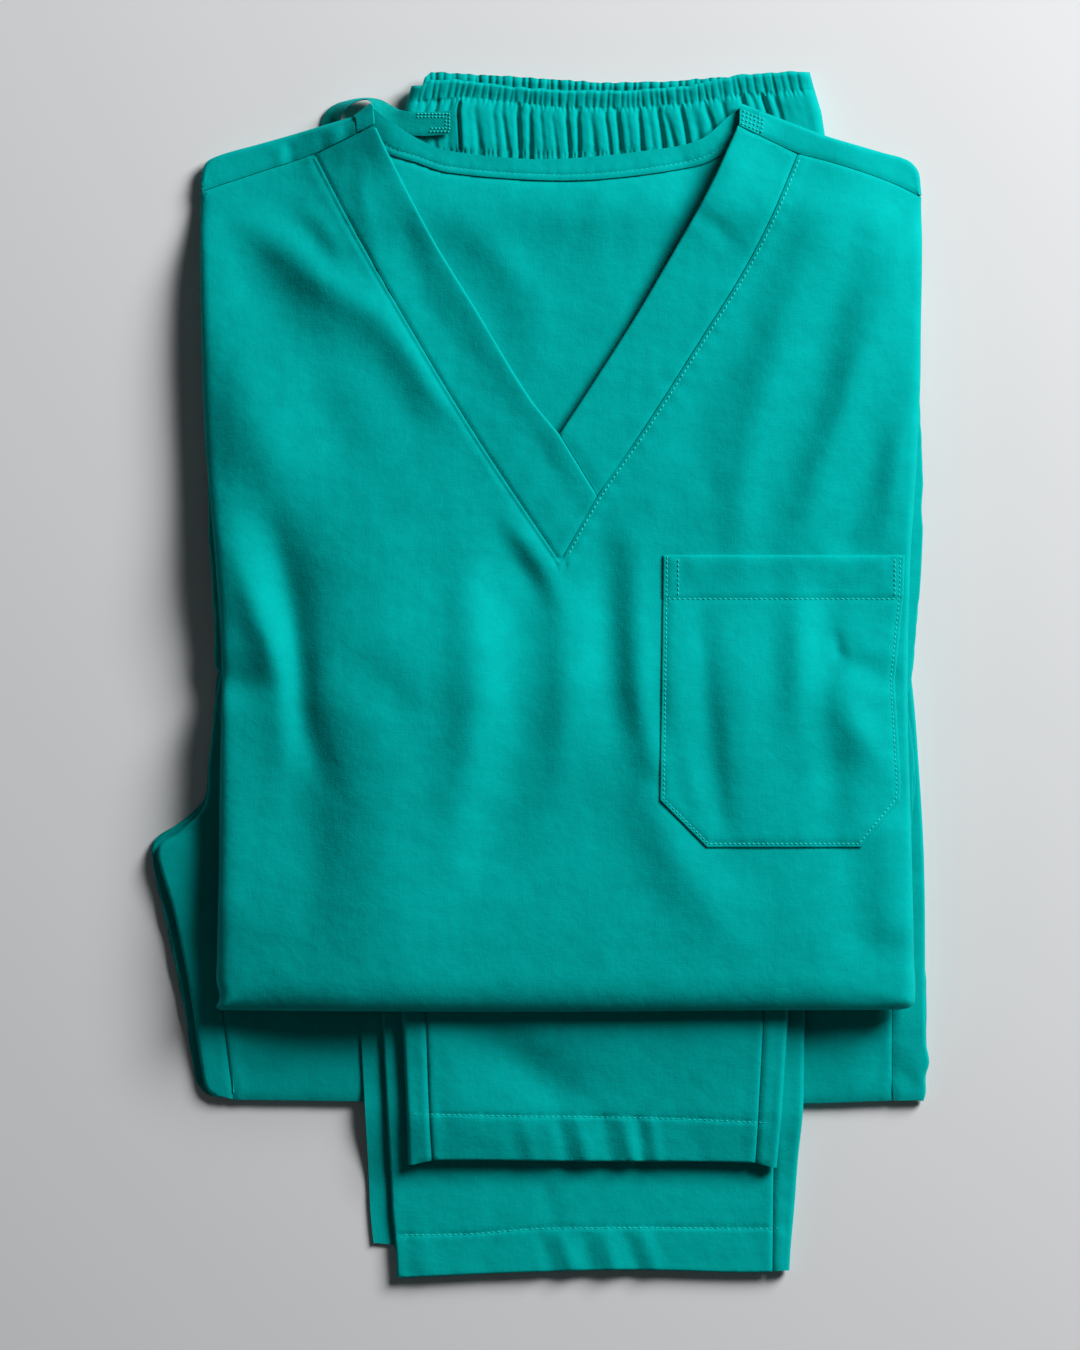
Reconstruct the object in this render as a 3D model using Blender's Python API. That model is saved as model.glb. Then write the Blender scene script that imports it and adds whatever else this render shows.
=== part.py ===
"""Medical scrubs, folded: a V-neck top lying face up on its trousers.

The set lies on a surface, +Z up and +Y towards the collar and the waistband. The origin is on that
surface, under the middle of the set. Sizes below are in millimetres, and MM turns them into metres.

The trousers are folded lengthwise, one thigh on the other, and their shins are folded up and then
down again on top. The top is folded round its sides and its lower edge, and sags over the trousers.
Each piece of cloth is a wall. It starts as an outer surface, level or carried round a fold, and
gets its thickness from a Solidify modifier. Layers that the folds hide are plain rounded slabs.
"""

import math

import bmesh
import bpy
import numpy as np
from mathutils.geometry import delaunay_2d_cdt

MM = 0.001

# Cloth
WALL = 1.2  # one layer, as a rigid wall
DOUBLE = 1.6  # a band or a casing, folded double
SEAM = 0.35  # gap between two pieces that are sewn together
CLEAR = 0.5  # gap between two pieces that lie on each other
GRID = 30.0  # spacing of the points inside a panel
STEP = 30.0  # spacing of the points along an outline
TEAL = (0.0, 0.33, 0.30)
TEAL_SHADE = (0.0, 0.24, 0.22)

# Heights of the pile, from the surface that it lies on
THIGH_TOP = 9.0
THIGH_LOWER = 4.4  # top of the hidden thigh
THIGH_DROP = 2.1  # half of the upper thigh's thickness
WAIST_RISE = 4.7  # waistband above the thighs
SHIN = 5.0  # thickness of one shin
SHIN_DROP = SHIN / 2
SHIN_FOLD = 1.6  # half of the lower shin's folded edge, which lies on its back
TOP_PAIR = 6.4  # front and back of the top, with the air between them
TOP_HIDDEN = 5.6  # layers folded under them
BACK_DEPTH = 4.7  # underside of the back, below the front's face
BACK_DROP = BACK_DEPTH / 2
BAND_RISE = 0.4  # neck bands above the front's face
NECK_DROP = 0.1  # neck band of the back, below the back
LAYERS_CLEAR = 0.2  # hidden layers above what the top lies on
SIDE_FILL = 3.0  # more of them beside the shins, where the sleeves are
LAYERS_DEPTH = 8.1  # face of the hidden layers, below the front's face
SIDE_HALF = 3.15  # half of the height of the top's folded sides, at the shoulders
FULL_HALF = 0.45  # more of it where hidden layers fill the top out
LOWER_HALF = 2.15  # more of it at the lower fold
LOWER_FOLD = -128.0  # y where the lower fold's height begins to add
LOWER_FADE = 30.0

# How the cloth sags past what it lies on: the length of the slope, and how far out it starts
THIGH_RAMP = 58.0
SHIN_RAMP = 70.0
LEG_FALL = 44.0
WAIST_RAMP = 40.0
THIGH_OUT = 6.0
SHIN_OUT = 6.0
LEG_OUT = 3.0
WAIST_OUT = 4.0
SHOULDER_FLAT = 14.0  # from the shoulder fold to where hidden layers begin
SHOULDER_FADE = 46.0

# Folded silhouette of the top, anticlockwise from the left shoulder seam to the right one: x, y, and
# how far the roll of the fold reaches in
TOP_EDGE = [
    (-180.4, 256.4, 5.0),
    (-180.6, 236.0, 5.0),
    (-180.4, 217.6, 5.0),
    (-179.4, 165.6, 5.0),
    (-178.3, 135.4, 5.0),
    (-176.2, 103.6, 5.0),
    (-172.2, 61.2, 5.0),
    (-169.0, 5.6, 5.0),
    (-169.8, -63.3, 5.0),
    (-170.1, -103.1, 5.0),
    (-171.3, -150.0, 6.0),
    (-171.6, -171.5, 5.5),
    (-167.0, -176.8, 5.5),
    (-146.0, -177.4, 11.0),
    (10.4, -177.8, 12.0),
    (132.3, -177.0, 12.0),
    (173.0, -176.9, 11.0),
    (193.6, -176.4, 5.5),
    (198.2, -171.5, 5.5),
    (197.9, -146.0, 6.0),
    (196.0, -77.1, 2.8),
    (194.3, -10.9, 2.8),
    (196.0, 63.3, 2.8),
    (198.0, 93.0, 4.0),
    (201.2, 150.3, 5.0),
    (201.7, 183.1, 5.0),
    (202.5, 229.2, 5.0),
    (202.2, 253.4, 5.0),
]

# Shoulders, anticlockwise: the fold's x and y, and the forward shoulder seam's x and y
SHOULDER_RIGHT = [
    (202.1, 258.0, 199.4, 255.4),
    (200.6, 267.9, 196.4, 256.9),
    (194.8, 273.7, 189.6, 260.2),
    (181.0, 277.5, 175.0, 265.6),
    (152.3, 285.6, 152.5, 272.4),
    (136.0, 291.8, 136.0, 276.9),
    (116.6, 299.3, 116.2, 286.8),
]
SHOULDER_LEFT = [
    (-99.6, 296.3, -97.8, 287.4),
    (-119.5, 290.7, -119.5, 277.3),
    (-148.6, 282.5, -149.5, 267.3),
    (-170.0, 276.5, -170.5, 260.4),
    (-177.6, 272.4, -175.4, 258.6),
    (-180.2, 264.5, -178.4, 257.6),
]
NECK_END_RIGHT = [(115.9, 299.6, 115.5, 287.3), (106.6, 303.2, 106.4, 292.0)]
NECK_END_LEFT = [(-90.2, 303.2, -88.2, 292.3), (-98.9, 296.8, -97.2, 287.9)]

# Neckline: edge of the neck hole and seam between the neck band and the body, as x and y
NECK_EDGE = [
    (100.5, 297.0),
    (84.6, 284.1),
    (58.1, 278.2),
    (14.1, 273.7),
    (-10.3, 273.7),
    (-49.5, 278.2),
    (-65.9, 284.9),
    (-80.8, 294.4),
]
NECK_SEAM = [
    (-93.4, 287.6),
    (-80.8, 277.4),
    (-66.0, 272.3),
    (-49.5, 266.9),
    (-0.5, 262.6),
    (38.5, 263.7),
    (84.6, 271.3),
    (100.0, 279.5),
    (112.0, 290.6),
]
V_SEAM_LEFT = [(-119.5, 276.9), (-97.7, 235.1), (-72.8, 191.6), (-46.3, 147.1), (-20.9, 107.3)]
V_TIP = (10.6, 60.7)
V_SEAM_RIGHT = [(30.0, 95.1), (54.9, 131.2), (88.3, 183.6), (106.3, 212.3), (122.2, 243.0), (136.0, 276.0)]
V_INNER_LEFT = [(-87.7, 291.8), (-81.3, 278.0), (-57.4, 231.9), (-35.7, 196.4), (-6.0, 147.6)]
V_CROSS = (10.1, 127.5)
V_LAP_END = (30.0, 95.0)
V_INNER_RIGHT = [(46.4, 183.6), (66.0, 216.5), (88.8, 256.8), (104.7, 291.2)]
BACK_INSET = 5.5  # the back lies this far inside the front's folds

# Chest pocket: x and y
POCKET = [
    (64.9, 63.9),
    (62.9, -66.0),
    (87.8, -90.9),
    (169.4, -90.9),
    (190.0, -66.0),
    (190.6, -57.5),
    (187.4, -2.9),
    (192.0, 41.1),
    (192.7, 63.9),
]
POCKET_WALL = 1.0
POCKET_GAP = 0.7

# Soft folds in the face of the top: both ends' x and y, half width, and height (a trough is below 0)
TOP_FOLDS = [
    (-160.0, 236.0, -70.0, 150.0, 20.0, -1.6),
    (-152.0, 45.0, -132.0, -26.0, 14.0, 1.8),
    (-126.0, 55.0, -90.0, -80.0, 17.0, -2.0),
    (-27.0, 60.0, -27.0, -56.0, 18.0, 1.6),
    (-75.0, 30.0, -78.0, -12.0, 14.0, -1.2),
    (45.0, 38.0, 54.0, -36.0, 13.0, -1.4),
    (50.0, -68.0, 54.0, -120.0, 22.0, -1.4),
]

# Upper thigh, anticlockwise: the fold's x and y, and the seam's x and y
THIGH_LEFT = [
    (-76.0, 272.0, -60.0, 272.0),
    (-95.0, 200.0, -79.0, 205.0),
    (-130.0, 110.0, -114.0, 118.0),
    (-158.0, 40.0, -142.0, 46.0),
    (-170.3, 0.3, -155.0, 4.0),
    (-176.0, -45.0, -160.0, -42.0),
    (-178.4, -68.6, -163.5, -62.0),
    (-191.0, -82.5, -168.0, -73.0),
    (-201.8, -89.8, -169.0, -82.0),
    (-203.2, -96.0, -169.5, -93.0),
    (-194.7, -125.9, -169.5, -126.0),
    (-185.7, -169.9, -169.3, -170.0),
    (-180.2, -208.0, -165.4, -207.5),
    (-177.4, -221.0, -163.6, -221.0),
]
THIGH_RIGHT = [
    (204.7, -221.5, 187.2, -221.5),
    (204.8, -212.3, 187.0, -212.0),
    (206.6, -205.4, 186.9, -205.0),
    (204.6, -193.7, 186.9, -194.0),
    (204.4, -176.8, 186.9, -177.0),
    (203.8, -102.0, 186.5, -102.0),
    (201.2, -52.2, 184.0, -52.0),
    (196.9, -0.8, 180.0, -1.0),
    (183.0, 90.0, 167.0, 90.0),
    (165.0, 200.0, 150.0, 200.0),
    (154.0, 272.0, 138.0, 272.0),
]
THIGH_BOTTOM = [(-163.3, -225.4), (-94.6, -226.3), (20.0, -227.2), (139.7, -227.4), (186.6, -225.9)]
THIGH_REACH = 8.0  # how far the roll of the thighs' lower fold reaches in
THIGH_LOW = -226.5  # y of that fold
THIGH_BACK_LOW = [(-163.0, -209.0), (187.0, -209.0)]  # lower edge of the thighs' back, x and y

# Hidden thigh: x and y of its silhouette, anticlockwise from the waist's left end
THIGH_HIDDEN = [
    (-78.0, 270.0),
    (-97.0, 200.0),
    (-132.0, 110.0),
    (-160.0, 40.0),
    (-172.0, 0.0),
    (-177.0, -50.0),
    (-181.0, -68.0),
    (-204.5, -86.5),
    (-206.9, -92.5),
    (-200.8, -125.9),
    (-193.1, -160.9),
    (-184.3, -210.2),
    (-181.5, -218.0),
    (-175.0, -223.4),
    (-94.6, -224.6),
    (139.7, -225.6),
    (200.0, -223.0),
    (204.0, -218.0),
    (205.6, -205.0),
    (203.0, -102.0),
    (195.6, 0.0),
    (181.5, 90.0),
    (163.5, 200.0),
    (152.0, 270.0),
]

# Shins: y, then x of the left fold, left seam, right seam and right fold
UPPER_LEG = [
    (-19.0, -80.0, -68.0, 125.0, 138.0),
    (-62.0, -78.5, -66.5, 123.0, 136.5),
    (-105.0, -76.8, -64.5, 121.3, 134.6),
    (-145.0, -75.0, -62.5, 119.8, 132.8),
    (-179.9, -73.4, -60.8, 118.5, 131.2),
    (-206.0, -72.2, -59.9, 117.2, 129.6),
    (-231.3, -71.0, -59.0, 115.9, 128.0),
    (-246.0, -70.5, -58.2, 115.1, 126.7),
    (-259.4, -70.2, -57.5, 114.3, 125.4),
]
LOWER_LEG = [
    (-19.0, -88.0, -88.0, 127.0, 141.5),
    (-62.0, -87.0, -87.0, 126.5, 141.2),
    (-105.0, -86.0, -86.0, 126.0, 140.8),
    (-145.0, -85.0, -85.0, 125.5, 140.5),
    (-179.9, -84.0, -84.0, 125.0, 140.2),
    (-206.0, -82.8, -82.8, 124.8, 139.9),
    (-231.3, -81.5, -81.5, 124.5, 139.4),
    (-255.0, -80.2, -80.2, 124.2, 137.0),
    (-267.0, -79.6, -79.6, 124.1, 136.1),
    (-283.3, -78.9, -78.9, 123.9, 134.9),
    (-302.0, -77.0, -77.0, 123.7, 133.2),
    (-316.5, -76.0, -76.0, 123.6, 132.3),
]
UPPER_HEM = [(-70.2, -259.4), (-57.5, -257.1), (20.0, -257.6), (114.3, -258.4), (125.4, -261.0)]
LOWER_HEM = [(-76.0, -319.9), (-10.8, -317.0), (49.1, -315.6), (110.0, -317.0), (132.3, -316.1)]
REAR_LEFT = 11.5  # how far the lower shin's back shows past the left fold
REAR_HEM = 15.0  # how much sooner the lower shin's back ends

# Waistband, from its lower seam to its top edge: y on the left, y in the middle, y on the right, height
# from the crest, and ruffle
WAIST_ROWS = [
    (275.6, 275.6, 275.6, -2.2, 0.2),
    (279.0, 278.0, 279.0, -1.0, 0.5),
    (287.0, 286.0, 289.0, 0.0, 0.7),
    (298.0, 295.0, 300.0, -0.2, 0.7),
    (305.6, 301.6, 309.0, -1.6, 0.4),
    (313.6, 309.8, 319.0, -2.6, 0.8),
]
# Its folds: y and x
WAIST_LEFT = [(275.6, -71.6), (298.5, -72.6), (316.0, -67.6)]
WAIST_RIGHT = [(275.6, 151.6), (286.0, 151.2), (299.0, 149.2), (313.0, 145.0), (320.4, 143.0)]
WAIST_CREST = 12.4
WAIST_DROP = 5.4  # half of the height of its folds
WAIST_PITCH = 9.2  # spacing of the flutes that the elastic gathers
WAIST_COLUMNS = 46  # points across
WAIST_BEND = (0.3, 0.55, 0.45)  # shares of the width where its edges bend: left's end, right's start, length
# Back of the waistband: the top edge's x and y, the lower edge's, its height and ruffle
WAIST_BACK = [(-62.5, 313.5), (-61.5, 317.5), (-58.0, 320.4), (-35.0, 319.2), (31.6, 314.8), (66.0, 315.2),
              (100.0, 317.8), (111.0, 318.2), (113.0, 314.0)]
WAIST_BACK_LOW = [(-62.0, 277.0), (-20.0, 277.0), (30.0, 277.0), (80.0, 277.0), (113.0, 277.0)]
WAIST_BACK_HIGH = 7.4
WAIST_BACK_RUFFLE = 0.5

# Drawstring, from where it leaves the pile to its free end: x, y, height, and lean (0 is flat)
TAPE_WIDTH = 12.5
TAPE_THICK = 1.2
TAPE = [
    (-109.0, 283.0, 1.7, 0.0),
    (-110.0, 288.0, 1.9, 4.0),
    (-110.3, 293.4, 2.9, 16.0),
    (-108.8, 298.2, 5.2, 44.0),
    (-104.6, 302.4, 6.8, 66.0),
    (-98.2, 305.2, 7.4, 80.0),
    (-91.2, 306.0, 7.8, 84.0),
    (-86.6, 303.9, 8.4, 62.0),
    (-82.4, 299.6, 9.8, 38.0),
    (-77.4, 295.2, 12.2, 17.0),
    (-70.4, 292.9, 14.0, 4.0),
    (-62.0, 292.4, 14.2, 0.0),
    (-54.0, 292.8, 14.2, 0.0),
    (-46.9, 293.3, 14.2, 0.0),
]
# Where the tape lifts the top: x, y, radius, height
TAPE_HUMPS = [(-72.0, 289.0, 20.0, 2.4), (-110.0, 288.0, 15.0, 2.6), (-86.0, 299.0, 16.0, 3.2)]

# Sleeves, folded behind: x and y of the silhouette, anticlockwise
SLEEVE_LEFT = [
    (-176.0, 215.0),
    (-177.2, 119.5),
    (-175.4, 61.2),
    (-173.0, 22.5),
    (-170.4, 1.3),
    (-112.0, 14.0),
    (-104.0, 110.0),
    (-122.0, 205.0),
    (-160.0, 222.0),
]
SLEEVE_RIGHT = [
    (196.9, -0.8),
    (200.0, 30.0),
    (202.3, 63.3),
    (203.1, 101.5),
    (201.7, 138.1),
    (197.5, 215.0),
    (180.0, 222.0),
    (142.0, 205.0),
    (126.0, 110.0),
    (134.0, 12.0),
]
SLEEVE_THICK = 6.0

# Layers folded under the front and back: x and y of the silhouette, anticlockwise
TOP_LAYERS = [
    (-116.0, 226.0),
    (-98.0, 200.0),
    (-98.0, 6.0),
    (-166.0, -4.0),
    (-166.5, -60.0),
    (-166.8, -118.0),
    (-152.0, -124.0),
    (-150.0, -156.0),
    (-60.0, -160.0),
    (40.0, -160.2),
    (176.0, -158.0),
    (178.0, -124.0),
    (193.0, -118.0),
    (191.0, -10.0),
    (121.0, 4.0),
    (120.0, 200.0),
    (136.0, 226.0),
    (88.0, 224.0),
    (10.0, 216.0),
    (-70.0, 224.0),
]


# Curves and heights

def smooth(t):
    """0 below t = 0, 1 above t = 1, level at both."""
    t = np.clip(t, 0.0, 1.0)
    return t * t * (3.0 - 2.0 * t)


def outside(outline, x, y):
    """Distance from (x, y) to a closed outline: above 0 outside it, below 0 inside."""
    x = np.asarray(x, float)
    y = np.asarray(y, float)
    nearest = np.full(x.shape, 1e9)
    inside = np.zeros(x.shape, bool)
    for (ax, ay), (bx, by) in zip(outline, outline[1:] + outline[:1]):
        length = (bx - ax) ** 2 + (by - ay) ** 2
        along = np.clip(((x - ax) * (bx - ax) + (y - ay) * (by - ay)) / length, 0.0, 1.0)
        nearest = np.minimum(nearest, np.hypot(x - ax - along * (bx - ax), y - ay - along * (by - ay)))
        if ay != by:
            crossing = ((ay > y) != (by > y)) & (x < (bx - ax) * (y - ay) / (by - ay) + ax)
            inside ^= crossing
    return np.where(inside, -nearest, nearest)


def beside(line, x, y):
    """Distance from (x, y) to the straight line between two points, and the share of it that is passed."""
    ax, ay, bx, by = line
    along = ((x - ax) * (bx - ax) + (y - ay) * (by - ay)) / ((bx - ax) ** 2 + (by - ay) ** 2)
    held = np.clip(along, 0.0, 1.0)
    return np.hypot(x - ax - held * (bx - ax), y - ay - held * (by - ay)), held


THIGH_OUTLINE = [(row[0], row[1]) for row in THIGH_HIDDEN]
LOWER_OUTLINE = (
    [(row[1] - REAR_LEFT, row[0]) for row in LOWER_LEG] + [(row[4], row[0]) for row in LOWER_LEG[::-1]]
)
WAIST_OUTLINE = [(-73.0, 262.0), (152.0, 262.0), (152.0, 322.0), (-73.0, 322.0)]  # what it covers, roughly


def under_legs(x, y):
    """Height of what the shins lie on: the thighs, and past them the surface itself."""
    return THIGH_TOP * (1.0 - smooth((outside(THIGH_OUTLINE, x, y) - LEG_OUT) / LEG_FALL))


def lower_leg_base(x, y):
    return under_legs(x, y) + CLEAR


def upper_leg_base(x, y):
    return lower_leg_base(x, y) + SHIN + 2 * CLEAR


def on_shins(x, y):
    """1 where the top lies on the shins, falling to 0 beside them."""
    return 1.0 - smooth((outside(LOWER_OUTLINE, x, y) - SHIN_OUT) / SHIN_RAMP)


def under_top(x, y):
    """Height of what the top lies on, with the sag between the trousers and the surface."""
    thigh = THIGH_TOP * (1.0 - smooth((outside(THIGH_OUTLINE, x, y) - THIGH_OUT) / THIGH_RAMP))
    shins = (2 * SHIN + 4 * CLEAR) * on_shins(x, y)
    waist = WAIST_RISE * (1.0 - smooth((outside(WAIST_OUTLINE, x, y) - WAIST_OUT) / WAIST_RAMP))
    humps = 0.0
    for hx, hy, wide, high in TAPE_HUMPS:
        humps = humps + high * np.exp(-((x - hx) ** 2 + (y - hy) ** 2) / wide**2)
    return CLEAR + thigh + shins + waist + humps


SHOULDER_LINE = sorted([row[:2] for row in SHOULDER_LEFT[:5]] + [row[:2] for row in SHOULDER_RIGHT[2:]])


def shoulder_y(x):
    return np.interp(x, [p[0] for p in SHOULDER_LINE], [p[1] for p in SHOULDER_LINE])


def fullness(x, y):
    """1 where hidden layers fill the top out, falling to 0 towards the shoulders and the neck."""
    return smooth((shoulder_y(x) - SHOULDER_FLAT - y) / SHOULDER_FADE)


def top_folds(x, y):
    rise = 0.0
    for ax, ay, bx, by, wide, high in TOP_FOLDS:
        away, along = beside((ax, ay, bx, by), x, y)
        rise = rise + high * np.exp(-((away / wide) ** 2)) * (0.45 + 0.55 * np.sin(math.pi * along))
    return rise


def top_face(x, y):
    """Height of the front's face."""
    filled = TOP_HIDDEN + SIDE_FILL * (1.0 - on_shins(x, y)) + top_folds(x, y)
    return under_top(x, y) + TOP_PAIR + filled * fullness(x, y)


def top_drop(x, y):
    """Half of the height of the front's folded edge. Its sides hold two layers, its lower fold all."""
    lower = smooth((LOWER_FOLD - y) / LOWER_FADE)
    return SIDE_HALF + FULL_HALF * fullness(x, y) + LOWER_HALF * lower


def back_under(x, y):
    return top_face(x, y) - BACK_DEPTH


def thigh_face(x, y):
    """Height of the upper thigh's face, which rounds off at the lower fold."""
    near = np.clip((y - THIGH_LOW) / THIGH_REACH, 0.0, 1.0)
    return THIGH_TOP - THIGH_DROP * (1.0 - np.sqrt(1.0 - (1.0 - near) ** 2))


# Outlines

def spaced(points, step=STEP):
    """The same open line with more points, none further apart than step. Other columns are blended."""
    line = [points[0]]
    for start, end in zip(points, points[1:]):
        count = max(1, math.ceil(math.dist(start[:2], end[:2]) / step))
        for k in range(1, count + 1):
            line.append(tuple(a + (b - a) * k / count for a, b in zip(start, end)))
    return line


def normals(line):
    """Unit vectors to the right of an open line, which is outward on an anticlockwise outline."""
    heading = np.gradient(np.array([p[:2] for p in line], float), axis=0)
    heading /= np.linalg.norm(heading, axis=1)[:, None]
    return np.column_stack([heading[:, 1], -heading[:, 0]])


def shifted(line, amount):
    """The line moved to its right by amount."""
    return [(p[0] + n[0] * amount, p[1] + n[1] * amount) for p, n in zip(line, normals(line))]


def folded_under(edge, level, drop, tuck, steps=4):
    """Rows of points that carry a sheet down round its folded edge and a little way back under it."""
    rows = []
    for (x, y, reach), (nx, ny) in zip(edge, normals(edge)):
        half = float(drop(x, y))
        row = []
        for k in range(steps + 1):
            turn = math.pi * k / steps
            inward = (reach if k <= steps / 2 else half) * (1.0 - math.sin(turn))
            px, py = x - nx * inward, y - ny * inward
            row.append((px, py, float(level(px, py)) - half * (1.0 - math.cos(turn))))
        px, py = x - nx * (half + tuck), y - ny * (half + tuck)
        row.append((px, py, float(level(px, py)) - 2.0 * half))
        rows.append(row)
    return rows


def folded_over(table, level, half, steps=4):
    """Rows of points that carry a sheet up round a fold and over to a seam. The table gives both."""
    rows = []
    for (x, y, seam_x, seam_y), (nx, ny) in zip(table, normals(table)):
        row = []
        for k in range(steps + 1):
            turn = math.pi * k / steps
            inward = half * (1.0 - math.sin(turn))
            px, py = x - nx * inward, y - ny * inward
            row.append((px, py, float(level(px, py)) + half * (1.0 - math.cos(turn))))
        row.append((seam_x, seam_y, float(level(seam_x, seam_y)) + 2.0 * half))
        rows.append(row)
    return rows


def lattice(ring, patch=(), margin=0.42):
    """Points of one shared lattice that lie inside the ring and away from a patch's outline."""
    xs = [p[0] for p in ring]
    ys = [p[1] for p in ring]
    columns = np.arange(math.ceil(min(xs) / GRID), math.floor(max(xs) / GRID) + 1) * GRID
    lines = np.arange(math.ceil(min(ys) / GRID), math.floor(max(ys) / GRID) + 1) * GRID
    gx, gy = (a.ravel() for a in np.meshgrid(columns, lines))
    keep = outside(ring, gx, gy) < -margin * GRID
    if patch:
        keep &= np.abs(outside(list(patch), gx, gy)) > margin * GRID
    return list(zip(gx[keep], gy[keep]))


# Solids

def material(name, colour):
    made = bpy.data.materials.new(name)
    made.use_nodes = True
    shader = made.node_tree.nodes["Principled BSDF"]
    shader.inputs["Base Color"].default_value = (*colour, 1.0)
    shader.inputs["Roughness"].default_value = 0.85
    made.diffuse_color = (*colour, 1.0)
    return made


def add_solid(name, shape, colour=TEAL, wall=None):
    """An object from a bmesh in millimetres. A wall thickness turns a surface into a piece of cloth."""
    bmesh.ops.remove_doubles(shape, verts=shape.verts, dist=0.01)
    bmesh.ops.scale(shape, vec=(MM, MM, MM), verts=shape.verts)
    mesh = bpy.data.meshes.new(name)
    shape.to_mesh(mesh)
    shape.free()
    mesh.shade_smooth()
    mesh.materials.append(material(name, colour))
    made = bpy.data.objects.new(name, mesh)
    bpy.context.scene.collection.objects.link(made)
    if wall:
        thick = made.modifiers.new("Wall", "SOLIDIFY")
        thick.thickness = wall * MM
        thick.offset = -1.0
        thick.use_even_offset = True


def add_quads(shape, rows, flip=False, closed=False):
    """Faces between rows of points. They face up where the rows run anticlockwise, each one outwards."""
    grid = [[shape.verts.new(p) for p in row] for row in rows]
    pairs = list(zip(grid, grid[1:]))
    if closed:
        pairs.append((grid[-1], grid[0]))
    for a, b in pairs:
        for k in range(len(a) - 1):
            corners = [a[k], a[k + 1], b[k + 1], b[k]]
            shape.faces.new(corners[::-1] if flip else corners)


def add_cap(shape, ring, level, flip=False, patch=(), even=False):
    """The area inside a ring, as triangles lifted to level(x, y). An even one needs no points inside.

    A patch is the outline of a piece sewn on it: its edges are kept, so that both bend alike.
    """
    points = list(ring) + list(patch) + ([] if even else lattice(ring, patch))
    around = [len(ring) + k for k in range(len(patch))]
    kept = list(zip(around, around[1:] + around[:1]))
    flat, _, faces, _, _, _ = delaunay_2d_cdt([tuple(map(float, p[:2])) for p in points], kept,
                                              [list(range(len(ring)))], 1, 1e-5)
    verts = [shape.verts.new((p[0], p[1], float(level(p[0], p[1])))) for p in flat]
    for face in faces:
        corners = [verts[k] for k in face]
        area = sum(a.co.x * b.co.y - b.co.x * a.co.y for a, b in zip(corners, corners[1:] + corners[:1]))
        if (area < 0) != flip:
            corners.reverse()
        shape.faces.new(corners)


def panel(name, parts, level, flip=False, wall=WALL, patch=(), even=False):
    """A piece of cloth. Its outline is a chain of parts, anticlockwise: points, or rows round a fold."""
    shape = bmesh.new()
    ring = []
    for part in parts:
        if isinstance(part[0], list):
            add_quads(shape, part, flip)
            ring += [row[0][:2] for row in part]
        else:
            ring += [tuple(p[:2]) for p in part]
    add_cap(shape, ring, level, flip, patch, even)
    add_solid(name, shape, TEAL, wall)


def slab(name, outline, low, high, layers=2, groove=0.9, round_off=1.4, even=False):
    """Hidden layers: a solid with a level or draped underside, whose edge is grooved between its layers."""
    ring = spaced(list(outline) + [outline[0]])[:-1]
    line = [ring[-1]] + ring + [ring[0]]
    outward = normals(line)[1:-1]
    rims = 2 * layers + 1
    rows = []
    for (x, y), (nx, ny) in zip(ring, outward):
        row = []
        for k in range(rims):
            inward = (round_off if k in (0, rims - 1) else groove) if k % 2 == 0 else 0.0
            px, py = x - nx * inward, y - ny * inward
            base, top = float(low(px, py)), float(high(px, py))
            row.append((px, py, base + (top - base) * k / (rims - 1)))
        rows.append(row)
    shape = bmesh.new()
    add_quads(shape, rows, flip=True, closed=True)
    add_cap(shape, [row[0][:2] for row in rows], low, flip=True, even=even)
    add_cap(shape, [row[-1][:2] for row in rows], high, even=even)
    add_solid(name, shape, TEAL_SHADE)


# The top

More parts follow.
